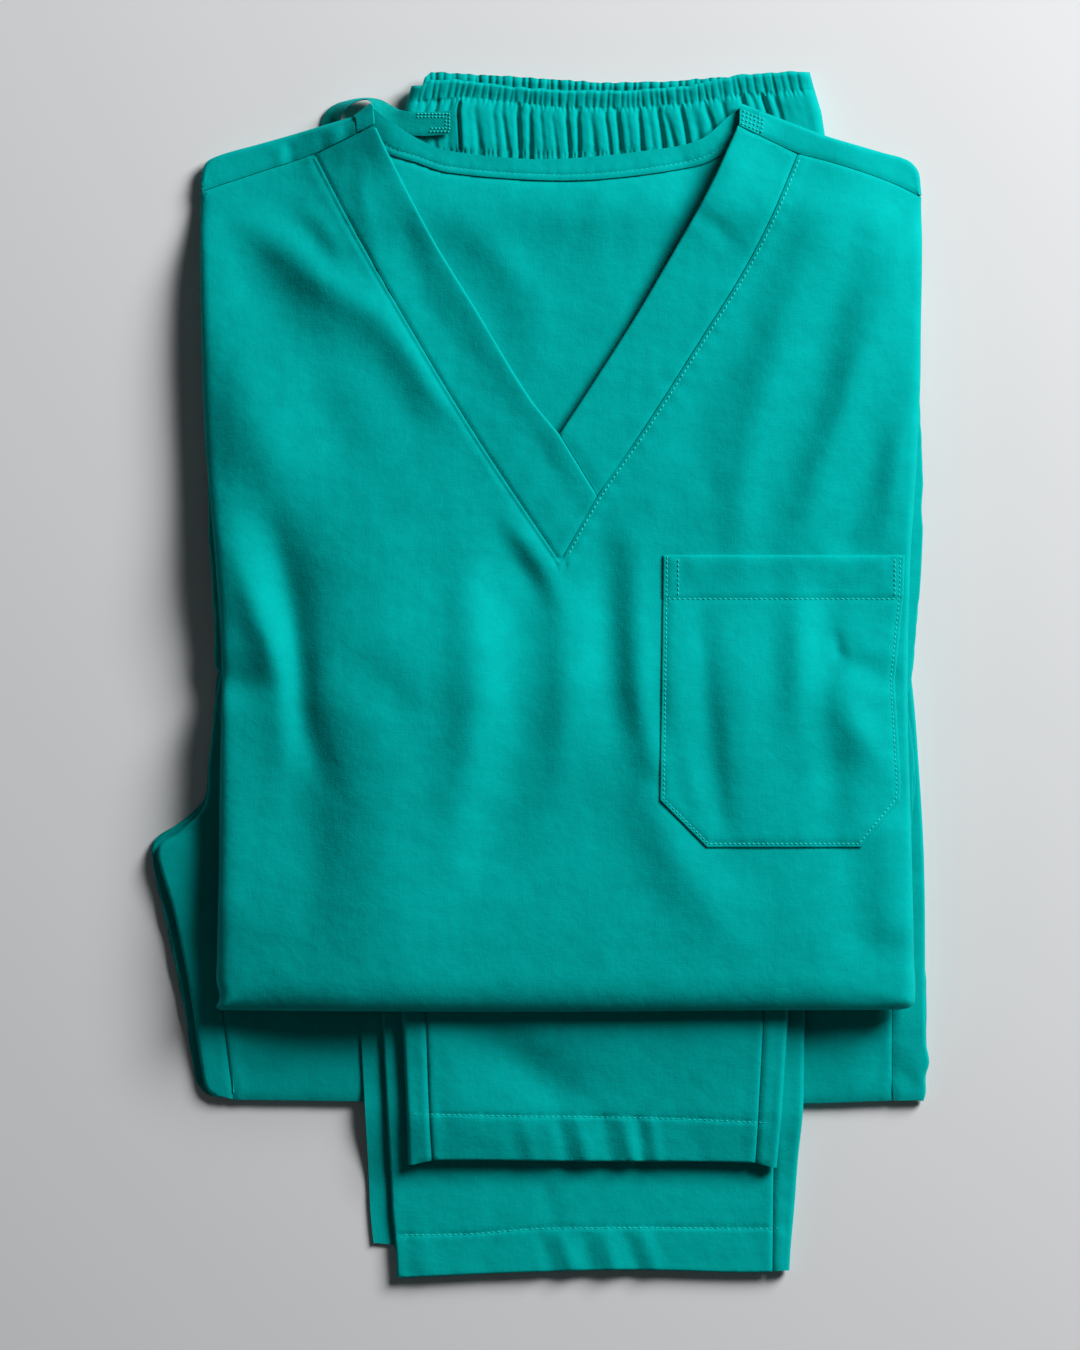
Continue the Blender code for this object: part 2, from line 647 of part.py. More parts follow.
def make_top():
    left_seam = [(p[2], p[3]) for p in SHOULDER_LEFT]
    right_seam = [(p[2], p[3]) for p in SHOULDER_RIGHT]
    v_seam = V_SEAM_LEFT + [V_TIP] + V_SEAM_RIGHT

    edge = spaced(TOP_EDGE)
    around = folded_under(edge, top_face, top_drop, tuck=5.0)
    seam_right = shifted([p for p in right_seam if p[0] > v_seam[-1][0]], -SEAM)
    seam_left = shifted([p for p in left_seam if p[0] < v_seam[0][0]], -SEAM)
    neckline = shifted(spaced(v_seam[::-1]), -SEAM)
    pocket_ring = spaced(POCKET + [POCKET[0]])[:-1]
    panel("top_front", [around, seam_right, neckline, seam_left], top_face, patch=pocket_ring)

    inner = shifted([p[:2] for p in edge], -BACK_INSET)
    fold_right = folded_over(SHOULDER_RIGHT, back_under, BACK_DROP)
    fold_left = folded_over(SHOULDER_LEFT, back_under, BACK_DROP)
    neck_seam = shifted(NECK_SEAM[::-1], -SEAM)
    panel("top_back", [inner, fold_right, neck_seam, fold_left], back_under, flip=True)

    def neck_under(x, y):
        return back_under(x, y) - NECK_DROP

    end_right = folded_over(NECK_END_RIGHT, neck_under, BACK_DROP)
    end_left = folded_over(NECK_END_LEFT, neck_under, BACK_DROP)
    neck_parts = [NECK_SEAM, end_right, NECK_EDGE, end_left]
    panel("back_neck_band", neck_parts, neck_under, flip=True, wall=DOUBLE)

    def band_face(x, y):
        return top_face(x, y) + BAND_RISE

    outer_left = spaced(V_SEAM_LEFT + [V_TIP, V_LAP_END])
    inner_left = spaced([V_LAP_END, V_CROSS] + V_INNER_LEFT[::-1])[1:]
    top_left = shifted([V_INNER_LEFT[0], V_SEAM_LEFT[0]], -0.6)
    panel("neck_band_left", [outer_left, inner_left[:-1], top_left[:1]], band_face, wall=DOUBLE)

    lap = shifted([V_LAP_END, V_CROSS], SEAM)
    outer_right = spaced(V_SEAM_RIGHT)[1:]
    inner_right = spaced([V_CROSS] + V_INNER_RIGHT)[::-1]
    panel("neck_band_right", [outer_right, inner_right[:-1], lap[::-1]], band_face, wall=DOUBLE)

    def pocket_face(x, y):
        return top_face(x, y) + POCKET_GAP + POCKET_WALL

    panel("chest_pocket", [pocket_ring], pocket_face, wall=POCKET_WALL)

    def layers_low(x, y):
        return under_top(x, y) + LAYERS_CLEAR

    def layers_high(x, y):
        return top_face(x, y) - LAYERS_DEPTH

    slab("top_folded_layers", TOP_LAYERS, layers_low, layers_high)

    def sleeve_high(x, y):
        return layers_low(x, y) + SLEEVE_THICK

    slab("sleeve_left", SLEEVE_LEFT, layers_low, sleeve_high, layers=3)
    slab("sleeve_right", SLEEVE_RIGHT, layers_low, sleeve_high, layers=3)


# The trousers

def make_thighs():
    def ground(x, y):
        return 0.0 * x

    def hidden_high(x, y):
        return THIGH_LOWER + 0.0 * x

    slab("trousers_folded_layers", THIGH_HIDDEN, ground, hidden_high, even=True)

    def back_level(x, y):
        return thigh_face(x, y) - 2.0 * THIGH_DROP

    left = folded_over(THIGH_LEFT, back_level, THIGH_DROP)
    right = folded_over(THIGH_RIGHT, back_level, THIGH_DROP)
    panel("trousers_back", [left, spaced(THIGH_BACK_LOW), right], back_level, flip=True, even=True)

    bottom = [(x, y, THIGH_REACH) for x, y in spaced(THIGH_BOTTOM)]

    def lower_face(x, y):
        return THIGH_TOP + 0.0 * x

    roll = folded_under(bottom, lower_face, lambda x, y: THIGH_DROP, tuck=3.0)
    right_seam = shifted([(p[2], p[3]) for p in THIGH_RIGHT[1:]], -SEAM)
    left_seam = shifted([(p[2], p[3]) for p in THIGH_LEFT[:-1]], -SEAM)
    panel("trousers_front", [roll, right_seam, left_seam], lower_face, even=True)


def make_leg(name, table, hem_line, base, left_seam):
    """A shin lying flat. Its back comes up round the folds to the seams, and its front lies between them."""
    def spot(row, column):
        return row[column], (float(np.interp(row[column], *zip(*hem_line))) if row is table[-1] else row[0])

    left = [spot(row, 1) + spot(row, 2) for row in table]
    right = [spot(row, 4) + spot(row, 3) for row in table[::-1]]
    over_right = folded_over(right, base, SHIN_DROP)
    right_line = shifted([spot(row, 3) for row in table[::-1]], -SEAM)

    def face(x, y):
        return base(x, y) + SHIN

    hem = [p for p in spaced(hem_line) if table[-1][2] + 2.0 < p[0] < table[-1][3] - 2.0]
    start = spaced([(table[0][3], table[0][0]), (table[0][2], table[0][0])])[1:-1]
    if left_seam:
        over_left = folded_over(left, base, SHIN_DROP)
        panel(name + "_back", [over_left, hem, over_right, start], base, flip=True)
        left_line = shifted([spot(row, 2) for row in table], -SEAM)
        panel(name + "_front", [left_line, hem, right_line, start], face)
    else:
        rear = [(row[1] - REAR_LEFT, row[0] + (REAR_HEM if row is table[-1] else 0.0)) for row in table]
        end_y, end_x = table[-1][:2]
        rear_hem = [(end_x - 1.5, end_y + REAR_HEM - 1.0), (end_x + 2.0, hem_line[0][1] + 1.0)]
        panel(name + "_back", [rear, rear_hem, hem, over_right, start], base, flip=True)
        fold = [(*spot(row, 1), SHIN_FOLD) for row in table]
        under = folded_under(fold, face, lambda x, y: SHIN_FOLD, tuck=7.0)
        panel(name + "_front", [under, hem, right_line, start], face)


def make_waistband():
    """Casing over elastic: fluted across, with a ruffle above its stitching and folds at its ends."""
    steps = 4
    left_end, right_start, right_length = WAIST_BEND
    rows = []
    for y_left, y_middle, y_right, below, ruffle in WAIST_ROWS:
        crest = WAIST_CREST + below
        x_left = np.interp(y_left, *zip(*WAIST_LEFT))
        x_right = np.interp(y_right, *zip(*WAIST_RIGHT))
        half = WAIST_DROP + below / 2.0
        row = []
        for k in range(steps, 0, -1):
            turn = math.pi * k / steps
            x = x_left + half * (1.0 - math.sin(turn))
            row.append((x, y_left, crest - half * (1.0 - math.cos(turn))))
        start, end = x_left + half, x_right - half
        for k in range(WAIST_COLUMNS + 1):
            share = k / WAIST_COLUMNS
            x = start + (end - start) * share
            bent_left = (y_left - y_middle) * (1.0 - smooth(share / left_end))
            bent_right = (y_right - y_middle) * smooth((share - right_start) / right_length)
            y = y_middle + bent_left + bent_right
            wave = math.sin(2.0 * math.pi * x / WAIST_PITCH) * math.sin(math.pi * share) ** 0.3
            row.append((x, float(y), crest + ruffle * wave))
        for k in range(1, steps + 1):
            turn = math.pi * k / steps
            x = x_right - half * (1.0 - math.sin(turn))
            row.append((x, y_right, crest - half * (1.0 - math.cos(turn))))
        rows.append(row)
    shape = bmesh.new()
    add_quads(shape, rows)
    add_solid("waistband_front", shape, TEAL, WALL)

    def back_face(x, y):
        wave = np.sin(2.0 * math.pi * x / WAIST_PITCH + 1.0) * smooth((y - 300.0) / 10.0)
        return WAIST_BACK_HIGH + WAIST_BACK_RUFFLE * wave

    panel("waistband_back", [WAIST_BACK_LOW, spaced(WAIST_BACK[::-1], WAIST_PITCH)], back_face, wall=DOUBLE)


def make_tape():
    """The drawstring: a flat woven tape that loops on its edge and ends lying on the waistband."""
    path = np.array([row[:3] for row in TAPE], float)
    along = np.gradient(path, axis=0)
    along /= np.linalg.norm(along, axis=1)[:, None]
    rows = []
    for point, heading, lean in zip(path, along, [math.radians(row[3]) for row in TAPE]):
        level = np.array([heading[1], -heading[0], 0.0])
        level /= np.linalg.norm(level)
        raised = np.cross(level, heading)
        across = level * math.cos(lean) + raised * math.sin(lean)
        face = np.cross(across, heading)
        corners = [(1, 1), (-1, 1), (-1, -1), (1, -1)]
        rows.append([point + across * a * TAPE_WIDTH / 2 + face * b * TAPE_THICK / 2 for a, b in corners])
    shape = bmesh.new()
    grid = [[shape.verts.new(p) for p in row] for row in rows]
    for a, b in zip(grid, grid[1:]):
        for k in range(4):
            shape.faces.new([a[k], b[k], b[(k + 1) % 4], a[(k + 1) % 4]])
    shape.faces.new(grid[0])
    shape.faces.new(grid[-1][::-1])
    bmesh.ops.recalc_face_normals(shape, faces=shape.faces)
    add_solid("drawstring", shape, TEAL)


def main():
    for old in list(bpy.data.objects):
        bpy.data.objects.remove(old)
    make_thighs()
    make_leg("lower_leg", LOWER_LEG, LOWER_HEM, lower_leg_base, left_seam=False)
    make_leg("upper_leg", UPPER_LEG, UPPER_HEM, upper_leg_base, left_seam=True)
    make_waistband()
    make_tape()
    make_top()


main()
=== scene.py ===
"""Looks of the folded medical scrubs: a V-neck top lying on its drawstring trousers.

Each layer of cloth on view is made here as a thin shell in the place of its CAD node. The sleeves and
the layers folded away are closed slabs, and the drawstring is a flat tape. But for SHEETS, tables are
in millimetres in the frame of the CAD: +Z up from the surface, +Y towards the collar, +X towards the
chest pocket. MM turns them into metres when a mesh is made.
"""

import math

import bmesh
import bpy
import numpy as np
from mathutils.geometry import delaunay_2d_cdt
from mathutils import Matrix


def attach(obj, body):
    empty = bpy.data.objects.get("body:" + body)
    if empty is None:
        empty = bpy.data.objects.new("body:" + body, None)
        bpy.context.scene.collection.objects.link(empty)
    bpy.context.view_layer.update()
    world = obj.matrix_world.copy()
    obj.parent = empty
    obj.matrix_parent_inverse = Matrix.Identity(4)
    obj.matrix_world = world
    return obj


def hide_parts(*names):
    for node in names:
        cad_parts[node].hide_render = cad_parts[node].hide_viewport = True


MM = 0.001
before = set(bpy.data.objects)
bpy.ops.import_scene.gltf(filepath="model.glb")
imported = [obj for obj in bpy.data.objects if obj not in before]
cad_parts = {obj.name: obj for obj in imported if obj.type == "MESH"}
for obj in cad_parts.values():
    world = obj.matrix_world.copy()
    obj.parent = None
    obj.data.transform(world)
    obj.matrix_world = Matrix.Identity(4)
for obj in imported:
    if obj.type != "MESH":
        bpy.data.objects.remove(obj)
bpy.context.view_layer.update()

# Cloth
WALL = 1.2  # one layer
DOUBLE = 1.6  # a band, folded double
SEAM = 0.35  # gap between two pieces that are sewn together
CLEAR = 0.5  # gap between two pieces that lie on each other
FINE = 2.5  # spacing of the points of a visible face
COARSE = 9.0  # spacing of the points of a hidden face

# Heights of the pile
THIGH_TOP = 9.0  # face of the upper thigh
THIGH_LOWER = 4.3  # top of the hidden thigh
THIGH_DROP = 2.1  # half of the upper thigh's thickness
THIGH_SINK = 3.2  # fall of the thighs and shins towards their lower ends
WAIST_RISE = 4.7  # waistband above the thighs
SHIN = 5.0  # thickness of one shin
SHIN_DROP = SHIN / 2
SHIN_FOLD = 1.6  # half of the lower shin's folded edge
TOP_PAIR = 6.4  # front and back of the top, with the air between them
TOP_HIDDEN = 5.6  # layers folded under them
SIDE_FILL = 3.0  # more of them beside the shins
BACK_DEPTH = 4.7  # underside of the back, below the front's face
BACK_DROP = BACK_DEPTH / 2
BACK_SAG = 1.2  # fall of the back where the V shows it
BACK_INSET = 5.5  # from the front's edge in to the back's
BAND_RISE = 0.4  # neck bands above the front's face
LOWER_SWELL = 2.6  # rise of the front towards its lower fold
SIDE_HALF = 3.15  # half of the height of the top's folded sides, at the shoulders
FULL_HALF = 0.45  # more of it where hidden layers fill the top out
LOWER_HALF = 2.15  # more of it at the lower fold
LAYERS_DEPTH = 9.2  # face of the hidden layers, below the front's plain face
LAYERS_CLEAR = 0.2  # back and hidden layers above what the top lies on
LAYERS_THIN = 0.8  # least thickness of the hidden layers
FRONT_CLEAR = 5.0  # from the face of the front down to the layers that it hides
SLEEVE_THICK = 6.0  # folded sleeve

# How the cloth sags past what it lies on: how far out a slope starts, and its length
THIGH_SLOPE = (6.0, 58.0)
SHIN_SLOPE = (6.0, 70.0)
LEG_SLOPE = (3.0, 44.0)
WAIST_SLOPE = (4.0, 40.0)
SHOULDER_SLOPE = (14.0, 46.0)  # this one goes in from the shoulder folds
# Where these begin, as y, and over what length they grow to the full
THIGH_SINK_SPAN = (-172.0, 48.0)
LOWER_SWELL_SPAN = (-70.0, 70.0)
LOWER_HALF_SPAN = (-128.0, 30.0)

# Low waves of each face: height, size and seed
FRONT_WAVES = [(0.10, 46.0, 3), (0.09, 17.0, 4), (0.05, 7.0, 5)]
BACK_WAVES = [(0.09, 30.0, 8), (0.07, 11.0, 9)]
BAND_WAVES = [(0.08, 11.0, 21)]
THIGH_WAVES = [(0.10, 24.0, 41), (0.05, 9.0, 42)]
SHIN_WAVES = [(0.10, 30.0, 61), (0.05, 10.0, 62)]

# Folded silhouette of the top, anticlockwise: x, y, and how far the roll of the fold reaches in
TOP_EDGE = [
    (-180.4, 256.9, 1.4),
    (-180.5, 252.0, 5.0),
    (-180.6, 236.0, 5.0),
    (-180.4, 217.6, 5.0),
    (-179.4, 165.6, 5.0),
    (-178.3, 135.4, 5.0),
    (-176.2, 103.6, 5.0),
    (-172.2, 61.2, 5.0),
    (-169.0, 5.6, 5.0),
    (-169.8, -63.3, 5.0),
    (-170.1, -103.1, 5.0),
    (-171.3, -150.0, 6.0),
    (-171.6, -162.0, 6.0),
    (-169.8, -170.0, 5.5),
    (-171.4, -176.2, 5.5),
    (-160.0, -177.2, 9.0),
    (-146.0, -177.4, 13.0),
    (10.4, -177.8, 16.0),
    (132.3, -177.0, 16.0),
    (173.0, -176.9, 13.0),
    (193.6, -176.4, 5.5),
    (198.2, -172.5, 5.5),
    (197.6, -146.0, 6.0),
    (196.0, -77.1, 2.8),
    (194.3, -10.9, 2.8),
    (196.0, 63.3, 2.8),
    (198.0, 93.0, 4.0),
    (201.2, 150.3, 5.0),
    (201.7, 183.1, 5.0),
    (202.5, 229.2, 5.0),
    (202.2, 249.4, 5.0),
    (202.3, 254.2, 1.4),
]

# Shoulders, anticlockwise: the fold's x and y, and the forward shoulder seam's x and y
SHOULDER_RIGHT = [
    (202.3, 254.6, 201.3, 254.3),
    (202.1, 258.0, 199.4, 255.4),
    (200.6, 267.9, 196.4, 256.9),
    (194.8, 273.7, 189.6, 260.2),
    (181.0, 277.5, 175.0, 265.6),
    (152.3, 285.6, 152.5, 272.4),
    (136.0, 291.8, 136.0, 276.9),
    (116.4, 299.4, 116.1, 286.2),
]
SHOULDER_LEFT = [
    (-99.6, 296.3, -97.8, 287.4),
    (-119.5, 290.7, -119.5, 277.3),
    (-148.6, 282.5, -149.5, 267.3),
    (-170.0, 276.5, -170.5, 260.4),
    (-177.6, 272.4, -175.4, 258.6),
    (-180.2, 264.5, -178.4, 257.6),
    (-180.4, 258.0, -179.6, 257.2),
]
NECK_END_RIGHT = [(116.2, 299.5, 115.9, 286.3), (106.6, 303.2, 105.4, 291.4)]
NECK_END_LEFT = [(-90.2, 303.2, -88.2, 292.3), (-98.9, 296.8, -97.2, 287.9)]

# Neckline: edge of the neck hole and seam between the neck band and the body, as x and y
NECK_EDGE = [
    (100.5, 297.0),
    (84.6, 284.1),
    (58.1, 278.2),
    (14.1, 273.7),
    (-10.3, 273.7),
    (-49.5, 278.2),
    (-65.9, 284.9),
    (-80.8, 294.4),
]
NECK_SEAM = [
    (-93.4, 287.6),
    (-80.8, 277.4),
    (-66.0, 272.3),
    (-49.5, 266.9),
    (-0.5, 262.6),
    (38.5, 263.7),
    (84.6, 271.3),
    (100.0, 279.5),
    (112.0, 290.6),
]
# The V, as x and y: seams of its two bands, their inner edges, and how the left one laps over the right
V_SEAM_LEFT = [(-119.5, 276.9), (-97.7, 235.1), (-72.8, 191.6), (-46.3, 147.1), (-20.9, 107.3)]
V_TIP = (10.6, 60.7)
V_SEAM_RIGHT = [(30.0, 95.1), (54.9, 131.2), (88.3, 183.6), (106.3, 212.3), (122.2, 243.0), (136.0, 276.0)]
V_INNER_LEFT = [(-87.7, 291.8), (-81.3, 278.0), (-57.4, 231.9), (-35.7, 196.4), (-6.0, 147.6)]
V_CROSS = (10.1, 127.5)
V_LAP_END = (30.0, 95.0)
V_INNER_RIGHT = [(46.4, 183.6), (66.0, 216.5), (88.8, 256.8), (104.7, 291.2)]

# Chest pocket: x and y
POCKET = [
    (64.9, 63.9),
    (62.9, -66.0),
    (87.8, -90.9),
    (169.4, -90.9),
    (190.0, -66.0),
    (190.6, -57.5),
    (187.4, -2.9),
    (192.0, 41.1),
    (192.7, 63.9),
]
POCKET_HEM = 40.5  # y of the hem's stitching
POCKET_TACKS = (72.9, 187.4)  # x of the stitches that hold the ends of the hem
POCKET_WALL = 1.0
POCKET_GAP = 0.25  # between the pocket and the front

# Folds of the front. Each row is one fold: its name, half width, and points with x, y and height.
# A trough has heights below 0.
FRONT_CREASES = [
    ("ridge from the left shoulder", 10.0,
     [(-162, 250, 0.5), (-144, 233, 3.2), (-114, 208, 3.3), (-82, 186, 3.1), (-56, 150, 2.5),
      (-46, 132, 0.4)]),
    ("hollow below that ridge", 13.0,
     [(-155, 220, -0.4), (-140, 199, -1.6), (-120, 178, -2.2), (-96, 168, -1.2), (-77, 144, -1.4),
      (-60, 118, -0.3)]),
    ("tuck beside the left band", 5.0, [(-128, 250, 0.2), (-116, 240, 1.0), (-106, 225, 0.3)]),
    ("hollow of that tuck", 5.0, [(-134, 244, -0.3), (-120, 230, -1.0), (-112, 218, -0.3)]),
    ("swell under the left arm", 20.0,
     [(-180, 218, 1.6), (-172, 188, 3.6), (-161, 152, 5.0), (-151, 122, 4.6), (-142, 100, 2.0)]),
    ("second hollow of the left chest", 15.0,
     [(-134, 182, -0.4), (-121, 156, -1.8), (-107, 126, -1.7), (-98, 104, -0.3)]),
    ("ridge on the left side", 8.0,
     [(-168, 93, 0.4), (-162, 66, 1.8), (-154, 45, 2.8), (-146, 26, 3.6), (-139, 8, 3.8), (-136, -10, 2.8),
      (-136, -38, 1.3), (-138, -62, 0.4)]),
    ("trough on the left side", 9.0,
     [(-152, 109, -0.5), (-145, 82, -1.5), (-138, 56, -3.0), (-132, 29, -4.6), (-129, 5, -5.4),
      (-128, -15, -4.6), (-122, -35, -2.6), (-112, -58, -0.8)]),
    ("broad side of that trough", 15.0,
     [(-143, 90, -0.8), (-135, 62, -4.0), (-130, 38, -4.4), (-128, 12, -1.6)]),
    ("pinch at the left fold", 11.0, [(-182, 2, -4.5), (-170, -2, -5.5), (-158, -4, -4.4), (-147, -6, -1.6)]),
    ("hollow above the pinch", 14.0, [(-180, 48, -2.0), (-174, 28, -4.0), (-165, 14, -3.0)]),
    ("fall along the left fold", 11.0,
     [(-180, -32, -1.0), (-178, -65, -2.4), (-178, -110, -2.6), (-176, -165, -2.2)]),
    ("fall along the lower fold", 12.0,
     [(-166, -182, -1.4), (-60, -183, -1.8), (60, -183, -1.8), (192, -182, -1.4)]),
    ("swell below the left pinch", 14.0, [(-167, -35, 0.5), (-165, -75, 2.5), (-166, -120, 2.0)]),
    ("lower left hollow", 18.0,
     [(-124, -10, -2.0), (-124, -60, -4.0), (-122, -100, -3.5), (-120, -140, -1.5)]),
    ("belly", 28.0, [(-86, 50, 3.0), (-82, 0, 3.0), (-80, -50, 4.0), (-79, -100, 4.0), (-79, -145, 2.5)]),
    ("hollow in the belly", 13.0, [(-110, 8, -0.8), (-92, 0, -2.4), (-76, -14, -2.0), (-66, -36, -0.6)]),
    ("swell left of the middle", 38.0, [(-50, 62, 1.5), (-46, 22, 3.5), (-50, -20, 2.2)]),
    ("middle ridge", 13.0,
     [(-38, 70, 1.0), (-37, 40, 3.2), (-34, 0, 4.6), (-35, -30, 4.6), (-44, -66, 3.0), (-50, -95, 1.0)]),
    ("middle hollow", 17.0, [(-14, 50, -2.4), (-10, 10, -3.4), (-12, -40, -3.2), (-24, -90, -2.0)]),
    ("tuck at the point of the V", 6.0, [(-19, 85, 0.8), (-5, 67, 2.4), (7, 46, 1.4), (11, 32, 0.4)]),
    ("hollow beside that tuck", 6.0, [(-20, 72, -0.4), (-9, 56, -1.0), (0, 40, -0.4)]),
    ("ridge below the point of the V", 9.0, [(10, 50, 0.5), (13, 10, 1.5), (13, -30, 1.5), (10, -60, 0.5)]),
    ("trough beside the pocket", 11.0,
     [(33, 78, -1.0), (35, 45, -3.5), (36, 12, -4.5), (38, -18, -2.5), (43, -45, -0.5)]),
    ("ridge beside the pocket", 8.0, [(50, 66, 1.0), (51, 20, 2.5), (53, -13, 3.5), (60, -45, 2.5)]),
    ("swell past the pocket's corner", 16.0,
     [(55, -45, 2.0), (66, -82, 4.5), (80, -108, 3.5), (100, -135, 1.0)]),
    ("trough in the pocket", 6.5,
     [(84, 40, -0.5), (87, 8, -1.8), (89, -24, -1.8), (93, -55, -1.5), (98, -82, -0.5)]),
    ("left ridge of the pocket", 6.0, [(70, 14, 0.5), (73, -24, 1.2), (79, -55, 1.2), (89, -82, 0.5)]),
    ("middle of the pocket", 18.0, [(104, 30, 0.8), (104, 0, 2.4), (105, -35, 3.4), (107, -72, 2.0)]),
    ("right ridge of the pocket", 9.0, [(135, 48, 0.8), (136, 19, 3.2), (136, -6, 2.8), (134, -35, 0.8)]),
    ("trough right of it", 8.0, [(154, 42, -0.5), (152, 0, -1.8), (149, -26, -1.0)]),
    ("dimple in the pocket", 3.2, [(156, 20, -1.4), (158, 12, -2.0)]),
    ("pinch at the right fold", 7.0, [(160, 6, -1.0), (172, 3, -1.8), (186, -3, -1.6)]),
    ("fan below the right pinch", 9.0, [(158, -8, 1.0), (166, -26, 3.2), (178, -46, 1.6)]),
    ("hollow below the fan", 10.0, [(149, -32, -0.5), (154, -52, -2.8), (153, -82, -1.5)]),
    ("ridge from the right shoulder", 11.0,
     [(153, 247, 0.5), (138, 210, 1.5), (127, 178, 2.5), (117, 146, 3.0), (108, 114, 2.5), (106, 82, 2.0),
      (108, 50, 1.0)]),
    ("hollow beside the right band", 11.0,
     [(132, 239, -1.5), (116, 204, -1.0), (105, 172, -1.5), (87, 146, -2.0), (79, 125, -1.5)]),
    ("second ridge of the right chest", 10.0,
     [(192, 231, 1.0), (183, 199, 1.5), (170, 172, 2.5), (163, 146, 3.5), (152, 120, 3.5), (143, 93, 3.0),
      (135, 69, 1.5)]),
    ("trough between those ridges", 10.0,
     [(169, 231, -2.5), (158, 199, -1.5), (151, 172, -2.0), (144, 146, -1.5), (135, 125, -1.0)]),
    ("trough at the right fold", 9.0,
     [(186, 157, -0.5), (179, 130, -1.5), (173, 104, -2.0), (164, 72, -2.0)]),
    ("small ridge at the right fold", 6.0, [(192, 135, 0.5), (187, 104, 1.5), (182, 72, 0.5)]),
    ("dent below the right shoulder", 5.0, [(159, 257, -0.6), (175, 254, -0.6)]),
    ("swell in the lower right corner", 13.0, [(187, -87, 3.0), (188, -130, 3.5)]),
    ("hollow beside that swell", 13.0, [(163, -103, -1.5), (166, -135, -1.5)]),
]
# Folds of the back where the V shows it
BACK_CREASES = [
    ("ridge from the left", 9.0, [(-50, 250, 0.3), (-29, 231, 1.5), (-16, 216, 1.8), (-3, 199, 0.5)]),
    ("hollow below that ridge", 11.0,
     [(-53, 234, -0.3), (-40, 207, -1.5), (-22, 183, -1.2), (-14, 160, -0.5)]),
    ("middle of the back", 11.0, [(-5, 210, 0.3), (-3, 183, 1.0), (-8, 157, 0.5)]),
    ("ridge right of the middle", 9.0, [(32, 252, 0.5), (29, 220, 0.6), (24, 195, 0.2)]),
    ("fall under the right band", 15.0, [(60, 200, -0.5), (70, 226, -2.5), (82, 253, -4.0), (90, 275, -3.5)]),
]
# Swell of the two neck bands along their inner edges
NECK_RISE = [
    ("left edge", 10.0,
     [(10, 128, 1.0), (-6, 147, 2.0), (-36, 196, 2.5), (-57, 232, 2.0), (-81, 278, 2.0), (-88, 292, 0.5)]),
    ("right edge", 14.0,
     [(16, 124, 0.8), (46, 184, 1.0), (66, 216, 2.0), (80, 240, 2.0), (90, 256, 4.0), (100, 272, 5.5),
      (105, 286, 3.5)]),
]
# Folds of the neck bands
BAND_CREASES = [
    ("ridge in the left band", 5.0, [(-94, 270, 0.4), (-93, 249, 0.9), (-87, 225, 0.8), (-79, 199, 0.3)]),
    ("hollow in the left band", 7.0,
     [(-74, 252, -0.3), (-70, 228, -0.8), (-61, 199, -0.8), (-43, 172, -0.4)]),
    ("low ridge in the left band", 8.0, [(-21, 135, 0.3), (-6, 109, 0.6), (10, 82, 0.3)]),
    ("pinch in the right band", 5.0, [(82, 245, -0.8), (93, 238, -1.2), (103, 226, -0.4)]),
]
# Cross folds in the shoulder strips
SHOULDER_CREASES = [
    ("ridge across the left strip", 4.0, [(-140, 286, 0.8), (-136, 268, 0.8)]),
    ("trough beside it", 2.4, [(-134, 286, -0.9), (-132, 268, -0.9)]),
    ("trough near the collar", 2.5, [(-103, 294, -0.7), (-103, 282, -0.7)]),
    ("ridge near the collar", 3.0, [(-110, 294, 0.5), (-110, 280, 0.5)]),
    ("second trough near the collar", 3.0, [(-116, 290, -0.5), (-115, 278, -0.5)]),
]

# Upper thigh, anticlockwise: the fold's x and y, and the seam's x and y
THIGH_LEFT = [
    (-76.0, 272.0, -60.0, 272.0),
    (-95.0, 200.0, -79.0, 205.0),
    (-130.0, 110.0, -114.0, 118.0),
    (-158.0, 40.0, -142.0, 46.0),
    (-170.3, 0.3, -155.0, 4.0),
    (-176.0, -45.0, -160.0, -42.0),
    (-178.4, -68.6, -163.5, -62.0),
    (-191.0, -82.5, -168.0, -73.0),
    (-201.8, -89.8, -169.0, -82.0),
    (-203.2, -96.0, -169.5, -93.0),
    (-194.7, -125.9, -169.5, -126.0),
    (-185.7, -169.9, -169.3, -170.0),
    (-180.2, -208.0, -165.4, -207.5),
    (-177.4, -219.5, -163.6, -220.0),
    (-171.5, -224.8, -163.4, -225.0),
]
THIGH_RIGHT = [
    (203.6, -226.2, 187.3, -225.8),
    (204.8, -221.5, 187.2, -221.5),
    (204.8, -212.3, 187.0, -212.0),
    (206.6, -205.4, 186.9, -205.0),
    (204.6, -193.7, 186.9, -194.0),
    (204.4, -176.8, 186.9, -177.0),
    (203.8, -102.0, 186.5, -102.0),
    (201.2, -52.2, 184.0, -52.0),
    (196.9, -0.8, 180.0, -1.0),
    (183.0, 90.0, 167.0, 90.0),
    (165.0, 200.0, 150.0, 200.0),
    (154.0, 272.0, 138.0, 272.0),
]
# Its lower fold: x and y of the edge, y of the fold's plain form, and how far its roll reaches in
THIGH_BOTTOM = [(-163.3, -225.4), (-94.6, -226.3), (20.0, -227.2), (139.7, -227.4), (186.6, -225.9)]
THIGH_FOLD = -226.5
THIGH_REACH = 14.0
THIGH_BACK_END = [(-163.0, -209.0), (187.0, -209.0)]  # lower edge of its back, inside the roll
